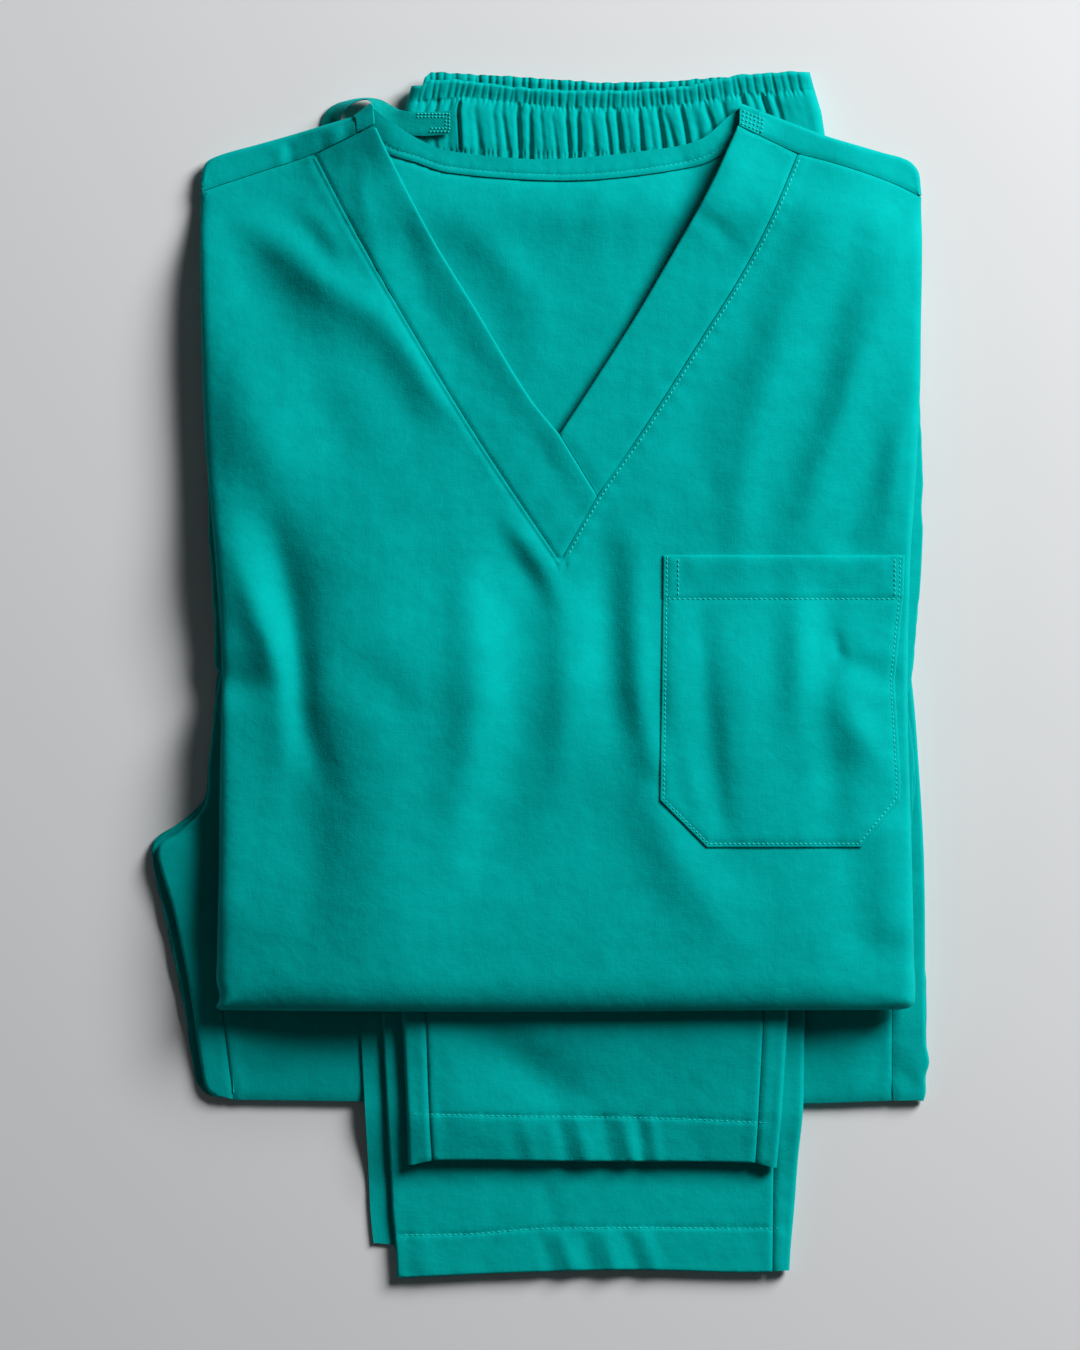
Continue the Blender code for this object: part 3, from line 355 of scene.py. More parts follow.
# Thigh below it, anticlockwise: x and y
THIGH_HIDDEN = [
    (-78.0, 270.0),
    (-97.0, 200.0),
    (-132.0, 110.0),
    (-160.0, 40.0),
    (-172.0, 0.0),
    (-177.0, -50.0),
    (-181.0, -68.0),
    (-204.5, -86.5),
    (-206.9, -92.5),
    (-200.8, -125.9),
    (-193.1, -160.9),
    (-184.3, -210.2),
    (-181.5, -218.0),
    (-175.0, -223.4),
    (-94.6, -224.6),
    (139.7, -225.6),
    (200.0, -223.0),
    (204.0, -218.0),
    (205.6, -205.0),
    (203.0, -102.0),
    (195.6, 0.0),
    (181.5, 90.0),
    (163.5, 200.0),
    (152.0, 270.0),
]

# Shins: y, then x of the left fold, left seam, right seam and right fold
UPPER_LEG = [
    (-19.0, -80.0, -68.0, 125.0, 138.0),
    (-62.0, -78.5, -66.5, 123.0, 136.5),
    (-105.0, -76.8, -64.5, 121.3, 134.6),
    (-145.0, -75.0, -62.5, 119.8, 132.8),
    (-179.9, -73.4, -60.8, 118.5, 131.2),
    (-206.0, -72.2, -59.9, 117.2, 129.6),
    (-231.3, -71.0, -59.0, 115.9, 128.0),
    (-246.0, -70.5, -58.2, 115.1, 126.7),
    (-259.4, -70.2, -57.5, 114.3, 125.4),
]
LOWER_LEG = [
    (-19.0, -88.0, -88.0, 127.0, 141.5),
    (-62.0, -87.0, -87.0, 126.5, 141.2),
    (-105.0, -86.0, -86.0, 126.0, 140.8),
    (-145.0, -85.0, -85.0, 125.5, 140.5),
    (-179.9, -84.0, -84.0, 125.0, 140.2),
    (-206.0, -82.8, -82.8, 124.8, 139.9),
    (-231.3, -81.5, -81.5, 124.5, 139.4),
    (-255.0, -80.2, -80.2, 124.2, 137.0),
    (-267.0, -79.6, -79.6, 124.1, 136.1),
    (-283.3, -78.9, -78.9, 123.9, 134.9),
    (-302.0, -77.0, -77.0, 123.7, 133.2),
    (-316.5, -76.0, -76.0, 123.6, 132.3),
]
UPPER_HEM = [(-70.2, -259.4), (-57.5, -257.1), (20.0, -257.6), (114.3, -258.4), (125.4, -261.0)]
LOWER_HEM = [(-76.0, -319.9), (-10.8, -317.0), (49.1, -315.6), (110.0, -317.0), (132.3, -316.1)]
UPPER_HEM_STITCH = [(-70.0, -232.2), (-20.0, -233.3), (60.0, -234.6), (126.0, -237.2)]
LOWER_HEM_STITCH = [(-77.6, -297.1), (-40.0, -296.6), (4.0, -293.6), (130.7, -293.6)]
REAR_LEFT = 11.5  # how far the lower shin's back shows past its left fold
REAR_HEM = 15.0  # how much shorter it is there
# Folds of the shins, with the puckers of their hems
LEG_SHARE = 0.75  # of the heights below that is left once the cloth is pressed
LEG_CREASES = [
    ("trough across the upper shin", 13.0,
     [(-32, -190, -1.6), (-7, -206, -4.0), (9, -222, -2.6), (15, -231, -0.8)]),
    ("ridge left of it", 12.0, [(-53, -204, 0.6), (-47, -222, 0.9), (-37, -233, 0.3)]),
    ("broad side of that trough", 22.0,
     [(-10, -216, -1.2), (30, -232, -3.0), (70, -236, -3.0), (104, -238, -1.6)]),
    ("upper hem, trough 1", 4.0, [(-16, -238, -0.4), (-12, -255, -0.4)]),
    ("upper hem, ridge 1", 4.0, [(-9, -238, 0.5), (-4, -255, 0.8)]),
    ("upper hem, trough 2", 3.5, [(10, -238, -1.2), (14, -256, -1.2)]),
    ("upper hem, ridge 2", 4.2, [(20, -237, 1.4), (25, -256, 1.9)]),
    ("upper hem, trough 3", 4.0, [(33, -237, -1.2), (38, -256, -1.4)]),
    ("upper hem, ridge 3", 3.5, [(44, -237, 1.4), (49, -256, 1.6)]),
    ("upper hem, trough 4", 2.6, [(52, -237, -1.2), (54, -256, -1.1)]),
    ("upper hem, ridge 4", 2.8, [(59, -237, 1.0), (62, -256, 1.1)]),
    ("upper hem, dent on the left", 4.0, [(-53, -229, -0.6), (-50, -240, -0.5)]),
    ("upper hem, dent on the right", 6.0, [(79, -238, -0.4), (85, -255, -0.5)]),
    ("lower hem, dent on the left", 5.0, [(-72, -299, -0.5), (-70, -315, -0.5)]),
    ("lower hem, ridge on the left", 6.0, [(-64, -299, 0.5), (-62, -314, 0.7)]),
    ("lower shin, soft ridge", 9.0, [(-32, -273, 0.5), (-35, -291, 0.7)]),
    ("lower shin, trough", 6.0, [(2, -270, -0.6), (8, -292, -0.6)]),
    ("lower shin, ridge", 7.0, [(10, -268, 0.7), (17, -292, 0.5)]),
    ("lower hem, trough 1", 3.6, [(0, -298, -1.0), (6, -315, -1.1)]),
    ("lower hem, ridge 1", 3.8, [(11, -298, 1.2), (17, -314, 1.6)]),
    ("lower hem, trough 2", 3.6, [(23, -298, -1.0), (27, -314, -1.1)]),
    ("lower hem, ridge 2", 4.0, [(34, -298, 1.4), (39, -314, 1.8)]),
    ("lower hem, trough 3", 3.6, [(45, -298, -1.2), (51, -314, -1.3)]),
    ("lower hem, ridge 3", 4.0, [(55, -298, 1.0), (61, -314, 1.2)]),
    ("lower hem, dent on the right", 3.5, [(111, -297, -0.4), (113, -308, -0.4)]),
]
# Folds of the thighs
THIGH_CREASES = [
    ("ridge in the left bulge", 8.0, [(-196, -84, 0.6), (-184, -92, 0.9), (-178, -110, 0.5)]),
    ("trough beside the top's edge", 9.0, [(-184, -78, -0.6), (-176, -95, -0.9), (-174, -120, -0.5)]),
    ("bump at the right fold", 8.0, [(196, -198, 0.5), (202, -206, 0.6)]),
    ("dent below the bump", 5.0, [(192, -212, -0.6), (199, -217, -0.7)]),
    ("swell at the lower right", 12.0, [(160, -190, 0.4), (168, -212, 0.5)]),
    ("swell at the lower left", 12.0, [(-140, -192, 0.4), (-110, -214, 0.4)]),
]

# Waistband: y and x of its end folds, then x and y of its upper edge, stitches and lower edge
WAIST_LEFT = [(275.6, -71.6), (298.5, -72.6), (316.0, -67.6)]
WAIST_RIGHT = [(275.6, 151.6), (286.0, 151.2), (299.0, 149.2), (313.0, 145.0), (320.4, 143.0)]
WAIST_TOP = [(-72.0, 313.0), (-66.5, 316.0), (-50.0, 316.0), (-22.0, 312.8), (9.4, 310.4), (48.5, 310.4),
             (85.0, 312.8), (111.0, 318.6), (143.0, 320.4), (151.6, 320.4)]
WAIST_STITCH = [(-72.0, 304.5), (-45.0, 306.5), (-20.0, 304.0), (10.0, 301.0), (48.0, 300.6), (85.0, 303.5),
                (111.0, 308.0), (151.6, 310.0)]
WAIST_BASE = [(-72.0, 278.0), (-30.0, 277.0), (20.0, 276.0), (80.0, 278.0), (151.6, 280.0)]
WAIST_CREST = 12.4  # height of the casing's face
WAIST_WALL = 0.8
WAIST_HALF = 4.9  # how far its end folds reach in
WAIST_GROUND = 1.6  # height of the lower sides of its end folds
WAIST_BACK_CREST = 8.6  # height of the back layer's face
WAIST_BACK_WALL = 0.9
# Grooves that the elastic pulls into the casing: x and depth at the header's seam, x and depth at
# the lower seam, and half width
WAIST_GROOVES = [
    (-66.0, 1.5, -67.0, 1.0, 1.6),
    (-60.0, 2.0, -61.0, 1.0, 1.4),
    (-52.7, 1.2, -54.0, 0.8, 1.6),
    (-38.5, 0.2, -36.3, 2.2, 1.8),
    (-28.0, 0.7, -27.0, 1.1, 1.5),
    (-23.0, 0.5, -21.0, 2.6, 1.4),
    (-14.0, 3.0, -14.6, 4.2, 1.3),
    (-7.0, 1.2, -8.6, 3.4, 1.3),
    (-1.3, 0.9, -1.3, 0.8, 1.3),
    (5.0, 0.3, 6.0, 1.4, 1.2),
    (13.2, 1.8, 12.8, 3.6, 1.2),
    (19.8, 2.4, 18.0, 3.2, 1.2),
    (27.0, 0.4, 26.8, 2.4, 1.6),
    (35.0, 1.5, 35.4, 2.6, 1.2),
    (41.6, 2.6, 41.2, 3.8, 1.3),
    (47.0, 0.5, 46.5, 0.9, 1.4),
    (54.0, 1.9, 52.6, 3.2, 1.2),
    (59.0, 0.5, 59.3, 0.9, 1.4),
    (64.6, 3.0, 64.8, 3.8, 1.4),
    (68.0, 0.3, 71.5, 2.6, 1.5),
    (77.5, 2.2, 78.4, 3.6, 1.3),
    (84.0, 0.3, 85.0, 2.4, 2.2),
    (91.0, 0.9, 95.0, 2.8, 1.6),
    (100.5, 1.3, 102.0, 1.3, 1.6),
    (112.0, 2.6, 114.0, 2.2, 1.4),
    (118.0, 0.9, 120.0, 0.9, 1.4),
    (123.8, 3.2, 126.2, 3.2, 1.4),
    (130.5, 1.7, 132.0, 0.9, 1.6),
]
WAIST_SLIT = -46.3  # x of the edge beside the drawstring's slit
# Upper edge of the back layer's header: x and y
WAIST_BACK = [(-62.5, 313.5), (-61.5, 317.5), (-58.0, 320.4), (-35.0, 319.2), (31.6, 314.8), (66.0, 315.2),
              (100.0, 317.8), (111.0, 318.2), (113.0, 314.0)]

# Drawstring: x, y, height, and lean in degrees (0 is flat)
TAPE_WIDTH = 12.5
TAPE_THICK = 1.2
TAPE = [
    (-109.0, 283.0, 1.7, 0.0),
    (-110.0, 288.0, 1.9, 4.0),
    (-110.3, 293.4, 2.9, 16.0),
    (-108.8, 298.2, 5.2, 44.0),
    (-104.6, 302.4, 6.8, 66.0),
    (-98.2, 305.2, 7.4, 80.0),
    (-91.2, 306.0, 7.8, 84.0),
    (-86.6, 303.9, 8.4, 62.0),
    (-82.4, 299.6, 9.8, 38.0),
    (-77.4, 295.2, 12.2, 17.0),
    (-70.4, 292.9, 14.0, 4.0),
    (-62.0, 292.4, 14.2, 0.0),
    (-54.0, 292.8, 14.2, 0.0),
    (-46.9, 293.3, 14.2, 0.0),
]
# What the tape lifts of the top: x, y, radius and height
TAPE_HUMPS = [(-72.0, 289.0, 20.0, 2.4), (-110.0, 288.0, 15.0, 2.6), (-86.0, 299.0, 16.0, 3.2)]

# Hidden layers, anticlockwise: x and y
SLEEVE_LEFT = [
    (-176.0, 215.0),
    (-177.2, 119.5),
    (-175.4, 61.2),
    (-173.0, 22.5),
    (-170.4, 1.3),
    (-112.0, 14.0),
    (-104.0, 110.0),
    (-122.0, 205.0),
    (-160.0, 222.0),
]
SLEEVE_RIGHT = [
    (193.0, -15.0),
    (196.9, -0.8),
    (200.0, 30.0),
    (202.3, 63.3),
    (203.1, 101.5),
    (201.7, 138.1),
    (197.5, 215.0),
    (180.0, 222.0),
    (142.0, 205.0),
    (126.0, 110.0),
    (134.0, 12.0),
]
TOP_LAYERS = [
    (-116.0, 226.0),
    (-98.0, 200.0),
    (-98.0, 6.0),
    (-166.0, -4.0),
    (-166.5, -60.0),
    (-166.8, -118.0),
    (-152.0, -124.0),
    (-150.0, -156.0),
    (-60.0, -160.0),
    (40.0, -160.2),
    (176.0, -158.0),
    (178.0, -124.0),
    (193.0, -118.0),
    (191.0, -10.0),
    (121.0, 4.0),
    (120.0, 200.0),
    (136.0, 226.0),
    (88.0, 224.0),
    (10.0, 216.0),
    (-70.0, 224.0),
]


# Curves

def smooth(t):
    """0 below t = 0, 1 above t = 1, level at both."""
    t = np.clip(t, 0.0, 1.0)
    return t * t * (3.0 - 2.0 * t)


def bell(away, wide):
    """1 at away = 0, fading out over about wide on both sides."""
    return np.exp(-((away / wide) ** 2))


def reading(x, table):
    """Value at x of a table with columns x and value, straight between its rows."""
    return np.interp(x, *zip(*table))


def curve(points, step=FINE):
    """Points of a smooth curve through the given ones. Columns after x and y are blended."""
    table = np.array(points, float)
    if len(table) < 3:
        return straight(points, step)
    padded = np.vstack([2 * table[0] - table[1], table, 2 * table[-1] - table[-2]])
    made = [table[0]]
    for k in range(1, len(padded) - 2):
        before, start, end, after = padded[k - 1:k + 3]
        span = math.dist(start[:2], end[:2])
        slope_in = (end - before) * span / (math.dist(before[:2], start[:2]) + span)
        slope_out = (after - start) * span / (span + math.dist(end[:2], after[:2]))
        count = max(1, math.ceil(span / step))
        for j in range(1, count + 1):
            t = j / count
            made.append(start * (2 * t**3 - 3 * t**2 + 1) + slope_in * (t**3 - 2 * t**2 + t)
                        + end * (3 * t**2 - 2 * t**3) + slope_out * (t**3 - t**2))
    return np.array(made)


def straight(points, step=FINE):
    """The same open line with more points."""
    table = np.array(points, float)
    made = [table[0]]
    for start, end in zip(table, table[1:]):
        count = max(1, math.ceil(math.dist(start[:2], end[:2]) / step))
        made += [start + (end - start) * k / count for k in range(1, count + 1)]
    return np.array(made)


def normals(line):
    """Unit vectors to the right of an open line, which is outward on an anticlockwise outline."""
    heading = np.gradient(np.asarray(line, float)[:, :2], axis=0)
    heading /= np.linalg.norm(heading, axis=1)[:, None]
    return np.column_stack([heading[:, 1], -heading[:, 0]])


def shifted(line, amount):
    """The line moved to its right by amount."""
    return np.asarray(line, float)[:, :2] + normals(line) * amount


def outside(outline, x, y):
    """Distance from (x, y) to a closed outline: above 0 outside it, below 0 inside."""
    nearest = np.full(np.shape(x), 1e9)
    inside = np.zeros(np.shape(x), bool)
    for (ax, ay), (bx, by) in zip(outline, np.roll(outline, -1, axis=0)):
        length = (bx - ax) ** 2 + (by - ay) ** 2
        if length == 0.0:
            continue
        along = np.clip(((x - ax) * (bx - ax) + (y - ay) * (by - ay)) / length, 0.0, 1.0)
        nearest = np.minimum(nearest, np.hypot(x - ax - along * (bx - ax), y - ay - along * (by - ay)))
        if ay != by:
            inside ^= ((ay > y) != (by > y)) & (x < (bx - ax) * (y - ay) / (by - ay) + ax)
    return np.where(inside, -nearest, nearest)


def beside(line, x, y):
    """Distance from (x, y) to an open line, and the share of its length that is passed there."""
    points = np.asarray(line, float)
    spans = np.hypot(*np.diff(points, axis=0).T)
    passed = np.concatenate([[0.0], np.cumsum(spans)])
    nearest = np.full(np.shape(x), 1e9)
    share = np.zeros(np.shape(x))
    for (ax, ay), (bx, by), span, start in zip(points, points[1:], spans, passed):
        along = np.clip(((x - ax) * (bx - ax) + (y - ay) * (by - ay)) / span**2, 0.0, 1.0)
        away = np.hypot(x - ax - along * (bx - ax), y - ay - along * (by - ay))
        closer = away < nearest
        nearest = np.where(closer, away, nearest)
        share = np.where(closer, (start + along * span) / passed[-1], share)
    return nearest, share


def passed_share(line):
    """Share of an open line's length that is passed at each of its points."""
    passed = np.concatenate([[0.0], np.cumsum(np.hypot(*np.diff(line[:, :2], axis=0).T))])
    return passed / passed[-1]


def creases(table, x, y):
    """Height of soft folds. Each one swells and tapers along its line, and fades out beside it."""
    rise = np.zeros(np.shape(x))
    for _, wide, points in table:
        line = curve(points, 8.0)
        reach = 3.0 * wide
        low, top = line[:, :2].min(axis=0) - reach, line[:, :2].max(axis=0) + reach
        near = (x > low[0]) & (x < top[0]) & (y > low[1]) & (y < top[1])
        if near.any():
            away, share = beside(line[:, :2], x[near], y[near])
            high = np.interp(share, passed_share(line), line[:, 2])
            rise[near] += high * bell(away, wide)
    return rise


def ripple(x, y, size, seed, waves=9):
    """Even random waves about size long, mostly between -1 and 1."""
    made = np.random.default_rng(seed)
    total = np.zeros(np.shape(x))
    for _ in range(waves):
        turn = made.uniform(0.0, math.pi)
        length = size * made.uniform(0.7, 1.6)
        phase = made.uniform(0.0, 2.0 * math.pi)
        total += np.sin(2.0 * math.pi * (x * math.cos(turn) + y * math.sin(turn)) / length + phase)
    return 2.0 * total / waves


def unevenness(table, x, y):
    """Low random waves. Each row has a height, a size and a seed."""
    return sum(high * ripple(x, y, size, seed) for high, size, seed in table)


# Heights, on one grid that is blurred so that the cloth bridges what lies under it

THIGH_OUTLINE = np.array(THIGH_HIDDEN)
LOWER_OUTLINE = np.array(
    [(row[1] - REAR_LEFT, row[0]) for row in LOWER_LEG] + [(row[4], row[0]) for row in LOWER_LEG[::-1]]
)
WAIST_OUTLINE = np.array([(-73.0, 262.0), (152.0, 262.0), (152.0, 322.0), (-73.0, 322.0)])
SHOULDER_LINE = sorted([row[:2] for row in SHOULDER_LEFT[:5]] + [row[:2] for row in SHOULDER_RIGHT[3:]])
CELL = 1.5  # spacing of the grid
GRID_X = np.arange(-240.0, 241.0, CELL)
GRID_Y = np.arange(-345.0, 346.0, CELL)
SAG_BLUR = 5.0  # over which the cloth evens out steps in what it lies on
CREASE_BLUR = 1.2  # over which folds run into one another
SHOULDER_BLEND = 15.0  # over which the shoulder line is evened out, to each side


def grown(span, y):
    """0 above a span's start, growing to 1 at its end. The span has a y and a length downwards."""
    start, length = span
    return smooth((start - y) / length)


def sag(outline, slope, x, y):
    """1 on an outline, falling to 0 past it. The slope says how far out it starts, and its length."""
    out, length = slope
    return 1.0 - smooth((outside(outline, x, y) - out) / length)


def thigh_fall(y):
    """The thighs sink towards their lower fold."""
    return -THIGH_SINK * grown(THIGH_SINK_SPAN, y)


def under_legs(x, y):
    """What the shins lie on: the thighs, sagging past their outline."""
    return (THIGH_TOP + thigh_fall(y)) * sag(THIGH_OUTLINE, LEG_SLOPE, x, y)


def lower_leg_base(x, y):
    """Underside of the lower shin."""
    return under_legs(x, y) + CLEAR


def upper_leg_base(x, y):
    """Underside of the upper shin."""
    return lower_leg_base(x, y) + SHIN + 2 * CLEAR


def shoulder_y(x):
    """y of the shoulder folds, evened out across the neck."""
    steps = np.linspace(-SHOULDER_BLEND, SHOULDER_BLEND, 7)
    return sum(reading(x + step, SHOULDER_LINE) for step in steps) / len(steps)


def fullness(x, y):
    """1 where hidden layers fill the top out, falling to 0 towards the shoulders and the neck."""
    flat, fade = SHOULDER_SLOPE
    return smooth((shoulder_y(x) - flat - y) / fade)


def blurred(field, radius):
    """The field with each value averaged over a Gaussian of the given radius in millimetres."""
    reach = math.ceil(3.0 * radius / CELL)
    weights = np.exp(-0.5 * (np.arange(-reach, reach + 1) * CELL / radius) ** 2)
    weights /= weights.sum()
    for axis in (0, 1):
        wide = np.pad(field, [(reach, reach) if a == axis else (0, 0) for a in (0, 1)], mode="edge")
        field = sum(w * np.take(wide, np.arange(k, k + field.shape[axis]), axis=axis)
                    for k, w in enumerate(weights))
    return field


def height_fields():
    """What the top lies on, and the face of its front without creases."""
    x, y = np.meshgrid(GRID_X, GRID_Y, indexing="ij")
    on_shins = sag(LOWER_OUTLINE, SHIN_SLOPE, x, y)
    thigh = THIGH_TOP * sag(THIGH_OUTLINE, THIGH_SLOPE, x, y)
    shins = (2 * SHIN + 4 * CLEAR) * on_shins
    waist = WAIST_RISE * sag(WAIST_OUTLINE, WAIST_SLOPE, x, y)
    humps = sum(high * bell(np.hypot(x - hx, y - hy), wide) for hx, hy, wide, high in TAPE_HUMPS)
    under = CLEAR + blurred(thigh + shins + waist, SAG_BLUR) + humps
    filled = (TOP_HIDDEN + SIDE_FILL * (1.0 - on_shins)) * fullness(x, y)
    return under, under + TOP_PAIR + blurred(filled, SAG_BLUR)


UNDER_FIELD, FACE_FIELD = height_fields()


def sampled(field, x, y):
    """Smooth reading of a field between its grid points."""
    u = (np.asarray(x, float) - GRID_X[0]) / CELL
    v = (np.asarray(y, float) - GRID_Y[0]) / CELL
    i = np.clip(u.astype(int), 1, len(GRID_X) - 3)
    j = np.clip(v.astype(int), 1, len(GRID_Y) - 3)

    def weights(t):
        return [((2.0 - t) * t - 1.0) * t / 2, ((3.0 * t - 5.0) * t * t + 2.0) / 2,
                ((4.0 - 3.0 * t) * t + 1.0) * t / 2, (t - 1.0) * t * t / 2]

    total = 0.0
    for a, wa in enumerate(weights(u - i)):
        for b, wb in enumerate(weights(v - j)):
            total = total + wa * wb * field[i + a - 1, j + b - 1]
    return total


def under_top(x, y):
    """What the top lies on."""
    return sampled(UNDER_FIELD, x, y)


def plain_face(x, y):
    """Face of the front without creases."""
    return sampled(FACE_FIELD, x, y)


def top_drop(x, y):
    """Half of the height of the front's folded edge."""
    lower = LOWER_HALF + LOWER_SWELL / 2.0
    return SIDE_HALF + FULL_HALF * fullness(x, y) + lower * grown(LOWER_HALF_SPAN, y)


# What the seams of the V enclose, closed past the collar
NECK_OPENING = np.array([V_TIP] + V_SEAM_RIGHT + [(110.0, 300.0), (-95.0, 300.0)] + V_SEAM_LEFT)


def relief(table):
    """Heights of folds on the grid, blurred a little so that they run into one another."""
    x, y = np.meshgrid(GRID_X, GRID_Y, indexing="ij")
    return blurred(creases(table, x, y), CREASE_BLUR)


FRONT_RELIEF = relief(FRONT_CREASES)
BACK_RELIEF = relief(BACK_CREASES)
BAND_RELIEF = relief(BAND_CREASES)
NECK_RELIEF = relief(NECK_RISE)


def front_creases(x, y):
    """Folds of the front. They lie flatter towards the shoulders and beside the neck bands."""
    from_bands = smooth((outside(NECK_OPENING, x, y) - 1.0) / 8.0)
    keep = fullness(x, y) ** 0.6 * (0.35 + 0.65 * from_bands)
    return sampled(FRONT_RELIEF, x, y) * keep + unevenness(FRONT_WAVES, x, y)


def back_under(x, y):
    """Underside of the back, with its own folds where the V shows it."""
    hidden = smooth(outside(NECK_OPENING, x, y) / 8.0 + 0.5)
    worn = sampled(BACK_RELIEF, x, y) + unevenness(BACK_WAVES, x, y)
    level = plain_face(x, y) - BACK_DEPTH + hidden * np.minimum(front_creases(x, y), 0.3)
    return np.maximum(level + (1.0 - hidden) * (worn - BACK_SAG), under_top(x, y) + LAYERS_CLEAR)


# Sewing: what seams and rows of stitches do to a face

def seam_dips(lines, x, y, deep, wide=1.0):
    """Grooves of the seams along the lines."""
    return -deep * sum(bell(beside(line, x, y)[0], wide) for line in lines)


def allowances(lines, x, y, high, end, fade):
    """Ridges of the seam allowances under the cloth. They end at the distance end from the lines."""
    return high * sum(smooth((end - beside(line, x, y)[0]) / fade) for line in lines)


def puckers(away, along, high, turns, at, wide, start=0.0):
    """Small waves along a row of stitches, highest where away equals at. Turns are radians a unit."""
    return high * np.sin(along * turns + start) * bell(away - at, wide)


# Meshes

def round_share(inward, reach):
    """Fall of a rounded edge, as a share of its height: 1 at the edge, 0 where the roll ends."""
    return 1.0 - np.sqrt(1.0 - (1.0 - np.clip(inward / reach, 0.0, 1.0)) ** 2)


def free_inset(edge, out, limit):
    """How far each point of an edge can move inward before another part of the edge is nearer."""
    free = np.full(len(edge), limit)
    for depth in np.arange(limit, 0.4, -0.8):
        away, _ = beside(edge[:, :2], *(edge[:, :2] - out * depth).T)
        free = np.where(away < depth - 0.12, depth - 0.8, free)
    return free


ROLL_LIMIT = 17.0  # how far a roll may reach in at the most


def folded_under(edge, level, drop, tuck, steps=9):
    """Rows of points that carry a sheet down round its folded edge and a little way back under it."""
    edge = np.asarray(edge, float)
    out = normals(edge)
    half = drop(edge[:, 0], edge[:, 1])
    free = free_inset(edge, out, ROLL_LIMIT)
    columns = []
    for k in range(steps + 2):
        upper = k <= steps / 2
        reach = edge[:, 2] if upper else half
        inward = reach * (1.0 - math.sin(math.pi * k / steps)) if k <= steps else half + tuck
        inward = np.minimum(inward, free)
        px, py = (edge[:, :2] - out * inward[:, None]).T
        fall = half * round_share(inward, reach)
        columns.append(np.column_stack([px, py, level(px, py) - (fall if upper else 2.0 * half - fall)]))
    return np.stack(columns, axis=1)


def corner_fall(edge, drop, x, y):
    """Fall of a face in the corners of a folded edge, where the roll reaches further than the corner."""
    line = np.asarray(edge, float)
    away, share = beside(line[:, :2], x, y)
    return drop(x, y) * round_share(away, np.interp(share, passed_share(line), line[:, 2]))


def folded_over(table, level, half, top=None, steps=9, strip=6):
    """Rows of points that carry a sheet up round a fold and over to a seam. The table gives both."""
    table = np.asarray(table, float)
    out = normals(table)
    reach = np.minimum(half, 0.8 * np.hypot(*(table[:, 2:4] - table[:, :2]).T))
    columns = []
    for k in range(steps + 1):
        turn = math.pi * k / steps
        inward = reach * (1.0 - math.sin(turn))
        px, py = (table[:, :2] - out * inward[:, None]).T
        columns.append(np.column_stack([px, py, level(px, py) + half * (1.0 - math.cos(turn))]))
    start = columns[-1][:, :2]
    rise = top or (lambda x, y: level(x, y) + 2.0 * half)
    for k in range(1, strip + 1):
        share = k / strip
        px, py = (start + (table[:, 2:4] - start) * share).T
        blend = smooth(share * 3.0)
        z = (level(px, py) + 2.0 * half) * (1.0 - blend) + rise(px, py) * blend
        columns.append(np.column_stack([px, py, z]))
    return np.stack(columns, axis=1)


def lattice(ring, spacing, margin=0.55):
    """Points of a triangular lattice over a ring, and which of them lie well inside it."""
    low, high = ring.min(axis=0), ring.max(axis=0)
    rows = np.arange(low[1], high[1], spacing * 0.866)
    points = [(x + spacing / 2 * (k % 2), y) for k, y in enumerate(rows)
              for x in np.arange(low[0], high[0], spacing)]
    gx, gy = np.array(points).T
    return gx, gy, outside(ring, gx, gy) < -margin * spacing


def cap(ring, spacing, near=(), detail=None):
    """Triangles that fill a ring.

    Lines in near get rows of points beside them, and detail says where the points are fine.
    """
    gx, gy, keep = lattice(ring, spacing)
    extra = []
    for line, offsets in near:
        away, _ = beside(np.asarray(line)[:, :2], gx, gy)
        keep &= away > max(abs(o) for o in offsets) + 0.5 * spacing
        for offset in offsets:
            moved = shifted(line, offset)
            extra.append(moved[outside(ring, *moved.T) < -0.12])
    if detail is not None:
        fx, fy, inside = lattice(ring, FINE)
        fine = inside & detail(fx, fy)
        keep &= ~detail(gx, gy)
        extra.append(np.column_stack([fx[fine], fy[fine]]))
    points = np.vstack([ring, np.column_stack([gx[keep], gy[keep]])] + extra)
    border = [list(range(len(ring)))]
    flat, _, faces, _, _, _ = delaunay_2d_cdt([tuple(p) for p in points], [], border, 1, 1e-4)
    return np.array([(p[0], p[1]) for p in flat]), faces


